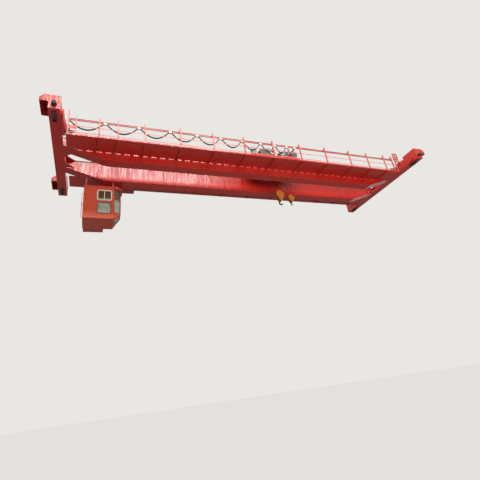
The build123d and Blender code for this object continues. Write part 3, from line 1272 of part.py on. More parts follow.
# Flat sheets: landing, platform, the platform's edge plate and the treads between the stringers
deck_reach = PLATFORM_REACH - EDGE_THICK
sheets = [
    (
        (landing_middle, CABIN_BACK + LANDING_DEPTH / 2, CABIN_FLOOR + LANDING_THICK / 2),
        (LANDING_RIGHT - LANDING_LEFT, LANDING_DEPTH, LANDING_THICK),
    ),
    (
        (platform_middle, WALKWAY_EDGE + deck_reach / 2, DECK_TOP - DECK_THICK / 2),
        (platform_length, deck_reach, DECK_THICK),
    ),
    (
        (platform_middle, platform_edge - EDGE_THICK / 2, -EDGE_ANGLE / 2),
        (platform_length, EDGE_THICK, EDGE_ANGLE),
    ),
]
for step in range(1, TREADS + 1):
    share = step / (TREADS + 1)
    tread_x = ladder_foot + STRINGER_DEPTH / 2 + share * (ladder_head - ladder_foot)
    tread_z = landing_top + share * (deck_bottom - landing_top)
    tread_size = (TREAD_DEPTH, LADDER_WIDTH - 2 * STRINGER_THICK, TREAD_THICK)
    sheets.append(((tread_x, ladder_y, tread_z), tread_size))
access_parts = []
for middle, size in sheets:
    with BuildPart() as sheet:
        with Locations(middle):
            Box(*size)
    access_parts.append(sheet.part)
for side in (-1, 1):
    stringer_y = ladder_y + side * (LADDER_WIDTH - STRINGER_THICK) / 2
    with BuildPart() as stringer:
        with BuildSketch(Plane.XZ.offset(-stringer_y)):
            with BuildLine():
                Polyline(
                    (ladder_foot, landing_top),
                    (ladder_foot + STRINGER_DEPTH, landing_top),
                    (ladder_head + STRINGER_DEPTH, deck_bottom),
                    (ladder_head, deck_bottom),
                    close=True,
                )
            make_face()
        extrude(amount=STRINGER_THICK / 2, both=True)
    access_parts.append(stringer.part)
# guard rails along the outer edges of the landing and the platform
for left, right, base, guard_y in (
    (LANDING_LEFT + 30.0, ladder_foot - 90.0, landing_top, CABIN_BACK + LANDING_DEPTH - 30.0),
    (PLATFORM_LEFT + 30.0, PLATFORM_RIGHT - 30.0, DECK_TOP, platform_edge - 40.0),
):
    with BuildPart() as guard_rail:
        for place_x in (left, right):
            with Locations((place_x, guard_y, base + GUARD_HEIGHT / 2)):
                Cylinder(GUARD_RADIUS, GUARD_HEIGHT)
        for height in (GUARD_HEIGHT / 2, GUARD_HEIGHT):
            with Locations(((left + right) / 2, guard_y, base + height)):
                Cylinder(GUARD_RADIUS, right - left, rotation=(0, 90, 0))
    access_parts.append(guard_rail.part)
save(Compound(children=access_parts), "cabin_access")

# Travel drives: a gear case on the inner face of each end carriage and a motor on the walkway
case_circles = (
    (-GEAR_CASE_PLACE, WHEEL_RADIUS, GEAR_CASE_RADIUS),
    (-WHEEL_BASE / 2, WHEEL_RADIUS, 0.65 * GEAR_CASE_RADIUS),
    (TRAVEL_MOTOR_Y, TRAVEL_MOTOR_Z, TRAVEL_MOTOR_RADIUS + 40.0),
)
with BuildPart() as travel_gears:
    for place_x, inward in ((0.0, 1), (SPAN, -1)):
        face_x = place_x + inward * CARRIAGE_WIDTH / 2
        with BuildSketch(Plane.YZ.offset(face_x)):
            for case_y, case_z, radius in case_circles:
                with Locations((case_y, case_z)):
                    Circle(radius)
            make_hull()
        extrude(amount=inward * GEAR_CASE_DEPTH)
        with Locations((face_x + inward * 20.0, -WHEEL_BASE / 2, WHEEL_RADIUS + SEAT)):
            Cylinder(axle_clear, 50.0, rotation=(0, 90, 0), mode=Mode.SUBTRACT)
        with BuildSketch(Plane.YZ.offset(face_x + inward * GEAR_CASE_DEPTH)):
            with Locations((-GEAR_CASE_PLACE, WHEEL_RADIUS)):
                Circle(GEAR_CASE_RADIUS - 30.0)
                Circle(0.55 * GEAR_CASE_RADIUS, mode=Mode.SUBTRACT)
        extrude(amount=inward * 40.0)
save(travel_gears.part, "travel_gears")

with BuildPart() as travel_motors:
    for place_x, inward in ((0.0, 1), (SPAN, -1)):
        motor_start = place_x + inward * (CARRIAGE_WIDTH / 2 + GEAR_CASE_DEPTH)
        motor_x = motor_start + inward * TRAVEL_MOTOR_LENGTH / 2
        with Locations((motor_x, TRAVEL_MOTOR_Y, TRAVEL_MOTOR_Z)):
            Cylinder(TRAVEL_MOTOR_RADIUS, TRAVEL_MOTOR_LENGTH, rotation=(0, 90, 0))
        foot_x = place_x + inward * (WALKWAY_END + 170.0)
        with Locations((foot_x, TRAVEL_MOTOR_Y, (DECK_TOP + TRAVEL_MOTOR_Z) / 2)):
            Box(260.0, 1.5 * TRAVEL_MOTOR_RADIUS, TRAVEL_MOTOR_Z - DECK_TOP)
save(travel_motors.part, "travel_motors")
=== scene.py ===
"""Looks of a double-girder overhead bridge crane: paint, ropes, cables, machinery, camera and light.

Metres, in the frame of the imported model. X runs along the bridge from the cabin's end, Y along the
runway with the walkway of the cable track on the negative side, Z is up from the runway rail's head.
"""
import logging
import math
from dataclasses import dataclass
from enum import Enum
from typing import Iterable, Sequence

import bmesh
import bpy
from mathutils import Matrix, Vector


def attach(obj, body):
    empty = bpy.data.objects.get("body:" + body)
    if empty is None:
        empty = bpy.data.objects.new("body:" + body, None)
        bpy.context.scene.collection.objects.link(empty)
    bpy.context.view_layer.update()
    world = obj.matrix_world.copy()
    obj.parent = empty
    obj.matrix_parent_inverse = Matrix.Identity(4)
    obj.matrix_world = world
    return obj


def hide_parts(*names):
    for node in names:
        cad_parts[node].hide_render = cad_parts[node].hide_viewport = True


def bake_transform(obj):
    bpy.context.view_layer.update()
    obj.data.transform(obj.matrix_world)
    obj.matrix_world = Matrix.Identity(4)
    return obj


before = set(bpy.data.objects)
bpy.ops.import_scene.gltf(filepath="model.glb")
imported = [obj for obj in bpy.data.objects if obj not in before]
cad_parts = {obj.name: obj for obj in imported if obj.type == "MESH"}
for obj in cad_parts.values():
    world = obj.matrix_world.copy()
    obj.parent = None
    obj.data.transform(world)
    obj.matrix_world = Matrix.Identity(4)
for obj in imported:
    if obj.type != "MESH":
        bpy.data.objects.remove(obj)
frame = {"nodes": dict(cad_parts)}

logging.basicConfig(level=logging.INFO, format="%(name)s: %(message)s")
LOG = logging.getLogger("crane")

Triple = tuple[float, float, float]
Span = tuple[float, float]
Profile = Sequence[Span]
Socket = bpy.types.NodeSocket


def linear(code: str) -> tuple[float, float, float, float]:
    """Turn an sRGB hex colour into the linear values that a shader takes.

    Args:
        code: colour such as "#C3261D".
    Returns:
        Linear red, green and blue, and a full alpha.
    """
    channels = [int(code[i : i + 2], 16) / 255 for i in (1, 3, 5)]
    red, green, blue = [c / 12.92 if c <= 0.04045 else ((c + 0.055) / 1.055) ** 2.4 for c in channels]
    return red, green, blue, 1.0


def add_node(
    tree: bpy.types.NodeTree, kind: str, settings: dict | None = None, links: dict | None = None
) -> bpy.types.Node:
    """Add one shader node.

    Args:
        tree: node tree that gets the node.
        kind: Blender's name of the node's type.
        settings: values by attribute name in small letters, or by input name or number.
        links: sockets that feed the inputs, by input name or number.
    Returns:
        The new node.
    """
    node = tree.nodes.new(kind)
    for name, value in (settings or {}).items():
        if isinstance(name, str) and name[0].islower():
            setattr(node, name, value)
        else:
            node.inputs[name].default_value = value
    for name, socket in (links or {}).items():
        tree.links.new(socket, node.inputs[name])
    return node


def fresh_tree(owner: bpy.types.Material | bpy.types.World) -> bpy.types.NodeTree:
    """Give a material or world an empty node tree.

    Args:
        owner: the material or world.
    Returns:
        Its tree.
    """
    owner.use_nodes = True
    owner.node_tree.nodes.clear()
    return owner.node_tree


def add_object(name: str, data: bpy.types.ID) -> bpy.types.Object:
    """Put an object into the scene.

    Args:
        name: its name.
        data: its mesh, lamp or camera.
    Returns:
        The object.
    """
    made = bpy.data.objects.new(name, data)
    bpy.context.scene.collection.objects.link(made)
    return made


class Facing(Enum):
    """Way that a turned shape's axis or a bolt's head points."""

    LEFT = (-1.0, 0.0, 0.0)
    RIGHT = (1.0, 0.0, 0.0)
    NEAR = (0.0, -1.0, 0.0)
    FAR = (0.0, 1.0, 0.0)
    UP = (0.0, 0.0, 1.0)

    def placed(self, centre: Sequence[float]) -> Matrix:
        """Return the matrix that turns local Z this way and moves the shape to its centre."""
        turn = Vector((0.0, 0.0, 1.0)).rotation_difference(Vector(self.value))
        return Matrix.Translation(Vector(centre)) @ turn.to_matrix().to_4x4()


@dataclass
class Coating:
    """One material in the making: its Principled shader and the steps that most finishes take."""

    tree: bpy.types.NodeTree
    shader: bpy.types.Node
    place: Socket  # Object coordinates, in metres

    def add(self, kind: str, settings: dict | None = None, links: dict | None = None) -> bpy.types.Node:
        """Add one node to this material; arguments and result are those of add_node."""
        return add_node(self.tree, kind, settings, links)

    def patches(
        self, noise: Triple, between: Span, most: float = 1.0, place: Socket | None = None
    ) -> tuple[Socket, Socket]:
        """Make uneven patches: noise, and the share of it that passes a threshold.

        Args:
            noise: its scale, which is one over a patch's size in metres, its detail and its roughness.
            between: levels of the noise at which a patch starts and is full.
            most: share where it is full.
            place: coordinates, or none for the object's own.
        Returns:
            The noise and the share.
        """
        scale, detail, roughness = noise
        level = self.add(
            "ShaderNodeTexNoise",
            {"Scale": scale, "Detail": detail, "Roughness": roughness},
            {"Vector": self.place if place is None else place},
        )
        share = self.add(
            "ShaderNodeMapRange",
            {"From Min": between[0], "From Max": between[1], "To Max": most},
            {"Value": level.outputs[0]},
        )
        return level.outputs[0], share.outputs[0]

    def facing_up(self, between: Span, most: float) -> Socket:
        """Find the faces that look up.

        Args:
            between: upward parts of the normal at which a face starts to count and counts in full.
            most: share where it counts in full.
        Returns:
            The share.
        """
        surface = self.add("ShaderNodeNewGeometry")
        parts = self.add("ShaderNodeSeparateXYZ", links={0: surface.outputs["Normal"]})
        share = self.add(
            "ShaderNodeMapRange",
            {"From Min": between[0], "From Max": between[1], "To Max": most},
            {"Value": parts.outputs[2]},
        )
        return share.outputs[0]

    def lay(self, ground: str, coats: Sequence[tuple[str, Socket]]) -> None:
        """Lay colours over each other and give the shader the last.

        Args:
            ground: the lowest colour.
            coats: each colour above it and the share of it that covers, from the lowest up.
        """
        under = None
        for colour, share in coats:
            mixed = self.add(
                "ShaderNodeMix",
                {"data_type": "RGBA", 6: linear(ground), 7: linear(colour)},
                {0: share} if under is None else {0: share, 6: under},
            )
            under = mixed.outputs[2]
        self.tree.links.new(under, self.shader.inputs["Base Color"])

    def vary(self, share: Socket, inputs: dict[str, Span]) -> None:
        """Let inputs of the shader follow a share.

        Args:
            share: the share.
            inputs: each input's values where the share is 0 and where it is 1.
        """
        for name, (none, full) in inputs.items():
            value = self.add("ShaderNodeMapRange", {"To Min": none, "To Max": full}, {"Value": share})
            self.tree.links.new(value.outputs[0], self.shader.inputs[name])

    def emboss(self, reliefs: Sequence[tuple[Socket, float, float]]) -> None:
        """Lay reliefs over each other and give the shader the last.

        Args:
            reliefs: each one's height, strength and depth in metres, from the lowest up.
        """
        under = None
        for height, strength, depth in reliefs:
            bump = self.add(
                "ShaderNodeBump",
                {"Strength": strength, "Distance": depth},
                {"Height": height} if under is None else {"Height": height, "Normal": under},
            )
            under = bump.outputs[0]
        self.tree.links.new(under, self.shader.inputs["Normal"])


@dataclass(frozen=True)
class Finish:
    """What every finish shares: a name and one Principled shader."""

    name: str

    def material(self) -> bpy.types.Material:
        """Make the finish's material on first use.

        Returns:
            The material.
        """
        made = bpy.data.materials.get(self.name)
        if made is not None:
            return made
        made = bpy.data.materials.new(self.name)
        tree = fresh_tree(made)
        shader = add_node(tree, "ShaderNodeBsdfPrincipled")
        add_node(tree, "ShaderNodeOutputMaterial", links={"Surface": shader.outputs[0]})
        self.shade(Coating(tree, shader, add_node(tree, "ShaderNodeTexCoord").outputs["Object"]))
        return made

    def shade(self, coating: Coating) -> None:
        """Add this finish's own nodes.

        Args:
            coating: the material in the making.
        """
        raise NotImplementedError


@dataclass(frozen=True)
class Enamel(Finish):
    """Alkyd enamel sprayed over primer on welded steel plate.

    It is satin where it is clean, chalks and fades in patches, holds dirt in runs down upright faces,
    has painted shade darkening its inner corners, catches dust on top, and is chipped to the primer
    along its edges, where the pale primer of the red enamels also stands as a painted edge highlight.
    """

    colour: str
    faded: str
    # colour of the dirt runs, and of the painted shade in the inner corners
    grime_and_shade: str = "#611A12"
    dust: str = "#A89A90"
    # primer in the chips; the pale primer of the red enamels also stands as a painted highlight along the
    # edges
    primer: str = "#D9A79C"
    roughness: float = 0.38
    shine: float = 0.08  # how much smoother the clean film is
    chalk: float = 0.2  # how much rougher the dirty film is
    fading: float = 0.5
    runs: float = 0.35
    # painted shade: how far the inner corners are darkened by ambient occlusion
    corners: float = 0.55
    dusting: float = 0.45
    # how much of the edges is chipped and so painted as highlight
    chips: float = 0.6
    patch: float = 2.2  # metres across one faded patch
    wave: float = 0.003  # how far the plates bulge between their stiffeners
    seams: float = 0.0  # metres between the plates' butt welds, or none

    def shade(self, coating: Coating) -> None:
        """Add the enamel's nodes.

        Args:
            coating: the material in the making.
        """
        faded = coating.patches((1 / self.patch, 6.0, 0.62), (0.42, 0.68), self.fading)[1]
        # runs of dirt: noise drawn out to about a metre long and a hand wide down the plate
        drawn = coating.add("ShaderNodeMapping", {"Scale": (11.0, 11.0, 0.9)}, {"Vector": coating.place})
        streaks, run = coating.patches((1.0, 4.0, 0.7), (0.5, 0.78), self.runs, drawn.outputs[0])
        # painted shade: the inner corners of the welded plates are darkened by ambient occlusion, in the same
        # dark colour as the dirt runs
        corner_occlusion = coating.add("ShaderNodeAmbientOcclusion", {"samples": 6, "Distance": 0.2})
        corner = coating.add(
            "ShaderNodeMapRange",
            {"From Min": 0.75, "From Max": 0.2, "To Max": self.corners},
            {"Value": corner_occlusion.outputs["AO"]},
        )
        dust = self.settle(coating)
        coats = (
            (self.faded, faded),
            (self.grime_and_shade, run),
            (self.grime_and_shade, corner.outputs[0]),
            (self.dust, dust),
            (self.primer, self.chip_and_highlight_edges(coating)),
        )
        coating.lay(self.colour, coats)
        # runs and dust are rougher than clean enamel
        matt = coating.add(
            "ShaderNodeMapRange",
            {
                "From Min": 0.38,
                "From Max": 0.66,
                "To Min": self.roughness - self.shine,
                "To Max": self.roughness + self.chalk,
            },
            {"Value": streaks},
        )
        rough = coating.add(
            "ShaderNodeMath",
            {"operation": "MULTIPLY_ADD", 1: 0.4, "use_clamp": True},
            {0: dust, 2: matt.outputs[0]},
        )
        coating.tree.links.new(rough.outputs[0], coating.shader.inputs["Roughness"])
        # plates bulge over about a metre, and the sprayed film has a fine orange peel
        vector = {"Vector": coating.place}
        swell = coating.add("ShaderNodeTexNoise", {"Scale": 1.3, "Detail": 2.0, "Roughness": 0.5}, vector)
        peel = coating.add("ShaderNodeTexNoise", {"Scale": 240.0, "Detail": 1.0}, vector)
        reliefs = [(swell.outputs[0], 1.0, self.wave), (peel.outputs[0], 0.35, 0.0006)]
        if self.seams:
            reliefs.append((self.weld(coating), 0.8, 0.004))
        coating.emboss(reliefs)

    def settle(self, coating: Coating) -> Socket:
        """Let dust drift over what faces up.

        Args:
            coating: the material in the making.
        Returns:
            The share that the dust covers.
        """
        lying = coating.facing_up((0.4, 0.95), self.dusting)
        drift = coating.add(
            "ShaderNodeTexNoise",
            {"Scale": 3.0, "Detail": 5.0, "Roughness": 0.7},
            {"Vector": coating.place},
        )
        dust = coating.add(
            "ShaderNodeMath", {"operation": "MULTIPLY"}, {0: lying, 1: drift.outputs[0]}
        )
        return dust.outputs[0]

    def chip_and_highlight_edges(self, coating: Coating) -> Socket:
        """Chip the edges to the pale primer, coarser than real so that it shows; the pale edges are also a
        painted highlight.

        Args:
            coating: the material in the making.
        Returns:
            The share that is chipped, which is also the share painted as edge highlight.
        """
        rounded = coating.add("ShaderNodeBevel", {"samples": 4, "Radius": 0.012})
        surface = coating.add("ShaderNodeNewGeometry")
        turned = coating.add(
            "ShaderNodeVectorMath",
            {"operation": "DOT_PRODUCT"},
            {0: rounded.outputs[0], 1: surface.outputs["Normal"]},
        )
        edge = coating.add(
            "ShaderNodeMapRange",
            {"From Min": 0.985, "From Max": 0.88},
            {"Value": turned.outputs["Value"]},
        )
        flake = coating.patches((28.0, 3.0, 0.7), (0.47, 0.56), self.chips)[1]
        chipped = coating.add(
            "ShaderNodeMath", {"operation": "MULTIPLY"}, {0: edge.outputs[0], 1: flake}
        )
        return chipped.outputs[0]

    def weld(self, coating: Coating) -> Socket:
        """Raise a butt weld across the plates at every seam.

        Args:
            coating: the material in the making.
        Returns:
            The bead's height.
        """
        split = coating.add("ShaderNodeSeparateXYZ", links={0: coating.place})
        value = split.outputs[0]
        # how far a point is from its bay's middle, in bays
        steps = {"DIVIDE": self.seams, "FRACT": 0.0, "SUBTRACT": 0.5, "ABSOLUTE": 0.0}
        for operation, second in steps.items():
            step = coating.add("ShaderNodeMath", {"operation": operation, 1: second}, {0: value})
            value = step.outputs[0]
        bead = coating.add(
            "ShaderNodeMapRange",
            {"interpolation_type": "SMOOTHSTEP", "From Min": 0.012 / self.seams, "From Max": 0.0},
            {"Value": value},
        )
        return bead.outputs[0]


@dataclass(frozen=True)
class MachineEnamel(Enamel):
    """Enamel on castings and small parts, which do not bulge: its patches are small and its dirt oily."""

    runs: float = 0.4
    patch: float = 0.5
    wave: float = 0.0


@dataclass(frozen=True)
class RolledSteel(Finish):
    """Bare rolled or forged steel: bright where wheels or ropes run on it, brown with rust elsewhere."""

    bright: str = "#A9A6A1"
    dark: str = "#4B4642"
    rust: str = "#6B3B26"
    rusting: float = 0.7
    polished: float = 0.9  # share of the faces that look up which is run bright

    def shade(self, coating: Coating) -> None:
        """Add the steel's nodes.

        Args:
            coating: the material in the making.
        """
        run = coating.facing_up((0.8, 0.97), self.polished)
        rusty = coating.patches((9.0, 8.0, 0.7), (0.4, 0.6), self.rusting)[1]
        coating.lay(self.dark, ((self.rust, rusty), (self.bright, run)))
        coating.vary(run, {"Metallic": (0.35, 1.0), "Roughness": (0.72, 0.3)})
        pits = coating.add(
            "ShaderNodeTexNoise",
            {"Scale": 120.0, "Detail": 4.0, "Roughness": 0.6},
            {"Vector": coating.place},
        )
        coating.emboss([(pits.outputs[0], 0.5, 0.001)])


@dataclass(frozen=True)
class GreasedRope(Finish):
    """Galvanised wire rope under old grease: grey wires with brown-black smears."""

    wire: str = "#85817B"
    grease: str = "#3A3530"

    def shade(self, coating: Coating) -> None:
        """Add the rope's nodes.

        Args:
            coating: the material in the making.
        """
        smear, greasy = coating.patches((14.0, 5.0, 0.7), (0.35, 0.65))
        coating.lay(self.wire, [(self.grease, greasy)])
        coating.shader.inputs["Metallic"].default_value = 0.75
        coating.vary(smear, {"Roughness": (0.34, 0.6)})
        # wires laid in the strands, about 2 mm apart, which is coarser than real so that they show
        wires = coating.add(
            "ShaderNodeTexWave",
            {"wave_type": "BANDS", "bands_direction": "DIAGONAL", "Scale": 160.0, "Distortion": 0.4},
            {"Vector": coating.place},
        )
        coating.emboss([(wires.outputs["Fac"], 0.5, 0.0008)])


@dataclass(frozen=True)
class MouldedRubber(Finish):
    """Black moulded or extruded rubber, grey with dust, matt with a slightly uneven skin."""

    colour: str = "#1B1A1A"
    dust: str = "#6A6560"
    dusting: float = 0.35

    def shade(self, coating: Coating) -> None:
        """Add the rubber's nodes.

        Args:
            coating: the material in the making.
        """
        film, dusty = coating.patches((7.0, 6.0, 0.65), (0.4, 0.75), self.dusting)
        coating.lay(self.colour, [(self.dust, dusty)])
        coating.vary(film, {"Roughness": (0.5, 0.8)})
        skin = coating.add("ShaderNodeTexNoise", {"Scale": 400.0, "Detail": 2.0}, {"Vector": coating.place})
        coating.emboss([(skin.outputs[0], 0.3, 0.0005)])


@dataclass(frozen=True)
class CabGlass(Finish):
    """Toughened float glass of a cabin, tinted brown above and greenish white below a set height.

    The upper panes are dark and clearer; the lower ones are greenish white and nearly opaque, with
    darker smudges.
    """

    upper: str = "#75664E"
    lower: str = "#B4BAA6"
    smudge: str = "#59594E"
    parting: float = -1.70  # height below which the panes turn greenish white
    fringe: float = 0.12  # how far above and below it the change blends in

    def shade(self, coating: Coating) -> None:
        """Add the glass's nodes.

        Args:
            coating: the material in the making.
        """
        split = coating.add("ShaderNodeSeparateXYZ", links={0: coating.place})
        # share above the set height, where the panes are dark brown and clearer
        clean = coating.add(
            "ShaderNodeMapRange",
            {"From Min": self.parting - self.fringe, "From Max": self.parting + self.fringe},
            {"Value": split.outputs[2]},
        ).outputs[0]
        smudged = coating.patches((3.4, 5.0, 0.6), (0.52, 0.72), 0.6)[1]
        coating.lay(self.lower, ((self.smudge, smudged), (self.upper, clean)))
        coating.vary(clean, {"Transmission Weight": (0.15, 0.5), "Roughness": (0.22, 0.04)})
        coating.shader.inputs["IOR"].default_value = 1.5


@dataclass(frozen=True)
class PlatedSteel(Finish):
    """Zinc-plated bolts and washers, dulled to a soft grey with brown stains."""

    zinc: str = "#9A9790"
    stain: str = "#5D4334"

    def shade(self, coating: Coating) -> None:
        """Add the plating's nodes.

        Args:
            coating: the material in the making.
        """
        film, stained = coating.patches((21.0, 4.0, 0.7), (0.5, 0.68), 0.8)
        coating.lay(self.zinc, [(self.stain, stained)])
        coating.shader.inputs["Metallic"].default_value = 0.8
        coating.vary(film, {"Roughness": (0.35, 0.65)})


# red alkyd enamel on the welded box girders, glossy, with a butt weld at each plate's end
GIRDER_RED = Enamel("enamel_girder_red", "#C4231A", "#C93A2C", roughness=0.25, seams=3.884)
# the same enamel on folded and small plates, which do not bulge as far
PLATE_RED = Enamel("enamel_plate_red", "#C4261C", "#CC4132", roughness=0.27, wave=0.0012, patch=1.1)
# the same enamel on the walkway's brackets, less glossy, a little paler, with little dirt and little painted
# corner shade
BRACKET_RED = Enamel("enamel_bracket_red", "#C93A2E", "#D25A4A", corners=0.1, wave=0.0, patch=0.8, runs=0.2)
# red enamel on the railings, painted pale pink to stand for the bright light falling on them (painted
# highlight), with faded patches
RAIL_RED = Enamel(
    "enamel_rail_red", "#CE5A50", "#E0998F", fading=0.9, roughness=0.5, wave=0.0, patch=3.0, runs=0.2
)
# orange-red enamel over the cabin's flat sheets
CABIN_ORANGE = Enamel(
    "enamel_cabin_orange", "#CE4728", "#D65A3A", grime_and_shade="#7A3220", primer="#E2B49C", wave=0.0015, runs=0.18
)
# cream enamel on the folded window frame and the cable carriers
CREAM = MachineEnamel(
    "enamel_cream", "#E8CDBE", "#EFDACD", grime_and_shade="#8E6F60", primer="#9C8B80", patch=0.3, runs=0.25
)
# white-grey machine enamel on the gearboxes' cover rings and the switch box, with dark oily runs
MACHINE_WHITE = MachineEnamel(
    "enamel_machine_white", "#D8D6D2", "#C2BFBA", grime_and_shade="#3B3733", primer="#6E6A66", runs=0.5
)
# grey-blue machine enamel on motors, brakes and drums, dark with oil runs and with painted shade in the
# corners
MACHINE_GREY = MachineEnamel(
    "enamel_machine_grey", "#7E8688", "#939A9C", grime_and_shade="#33302D", primer="#A5A29C", patch=0.4
)
# oily dark enamel on the gearboxes' welded cases
GEAR_CASE_GREY = MachineEnamel(
    "enamel_gear_case_grey", "#5A5653", "#6B6763", grime_and_shade="#26221F", primer="#8F8B86"
)
# orange enamel on the hook blocks, greasy and rubbed
HOOK_ORANGE = MachineEnamel(
    "enamel_hook_orange", "#DE7A2A", "#D06C22", grime_and_shade="#40260F", primer="#6D655C", patch=0.35, runs=0.5
)
# near-black oily skin of the forged hooks and the gearboxes' round caps
FORGED_BLACK = MachineEnamel(
    "forged_black",
    "#2C2825",
    "#3A342F",
    grime_and_shade="#141210",
    primer="#6F6A64",
    roughness=0.45,
    patch=0.3,
    runs=0.35,
)
# bare steel of the rails and the wheels, brown with a bright running face
RAIL_STEEL = RolledSteel("rolled_rail_steel")
WHEEL_STEEL = RolledSteel("forged_wheel_steel", rusting=0.5, polished=0.3)
# wire rope, dull grey with greasy smears
ROPE = GreasedRope("greased_wire_rope")
# black rubber of the buffers and gaskets, and the less dusty sheath of the cables
RUBBER = MouldedRubber("moulded_rubber")
CABLE_SHEATH = MouldedRubber("neoprene_cable_sheath", colour="#1E1E20", dusting=0.25)
# the cabin's panes, dark above and greenish white below, and dull grey bolts
CAB_GLASS = CabGlass("cabin_float_glass")
ZINC = PlatedSteel("zinc_plated_bolts")


def scaled(profile: Profile, radius: float, length: float = 1.0) -> list[Span]:
    """Give a profile of shares its real size.

    Args:
        profile: shares of the radius and of the length.
        radius: the radius.
        length: the length, or 1 where the profile's lengths are real ones.
    Returns:
        The profile in metres.
    """
    return [(radius * out, length * along) for out, along in profile]


def sweep(part: bmesh.types.BMesh, angle: float, steps: int, rise: float = 0.0, closed: bool = False) -> None:
    """Sweep all of a part round Z.

    Args:
        part: the part.
        angle: how far it goes round, in radians.
        steps: number of steps.
        rise: how far it climbs on the way.
        closed: whether its end meets its start.
    """
    bmesh.ops.spin(
        part,
        geom=part.faces[:] + part.edges[:] + part.verts[:],
        cent=(0.0, 0.0, 0.0),
        axis=(0.0, 0.0, 1.0),
        dvec=(0.0, 0.0, rise / steps),
        angle=angle,
        steps=steps,
        use_merge=closed,
    )


def round_edges(part: bmesh.types.BMesh, width: float) -> None:
    """Round all edges of a part.

    Args:
        part: the part.
        width: width of the rounding, or 0 for none.
    """
    if width:
        bmesh.ops.bevel(
            part,
            geom=part.edges[:],
            offset=width,
            offset_type="OFFSET",
            segments=2,
            profile=0.5,
            affect="EDGES",
            material=-1,
        )


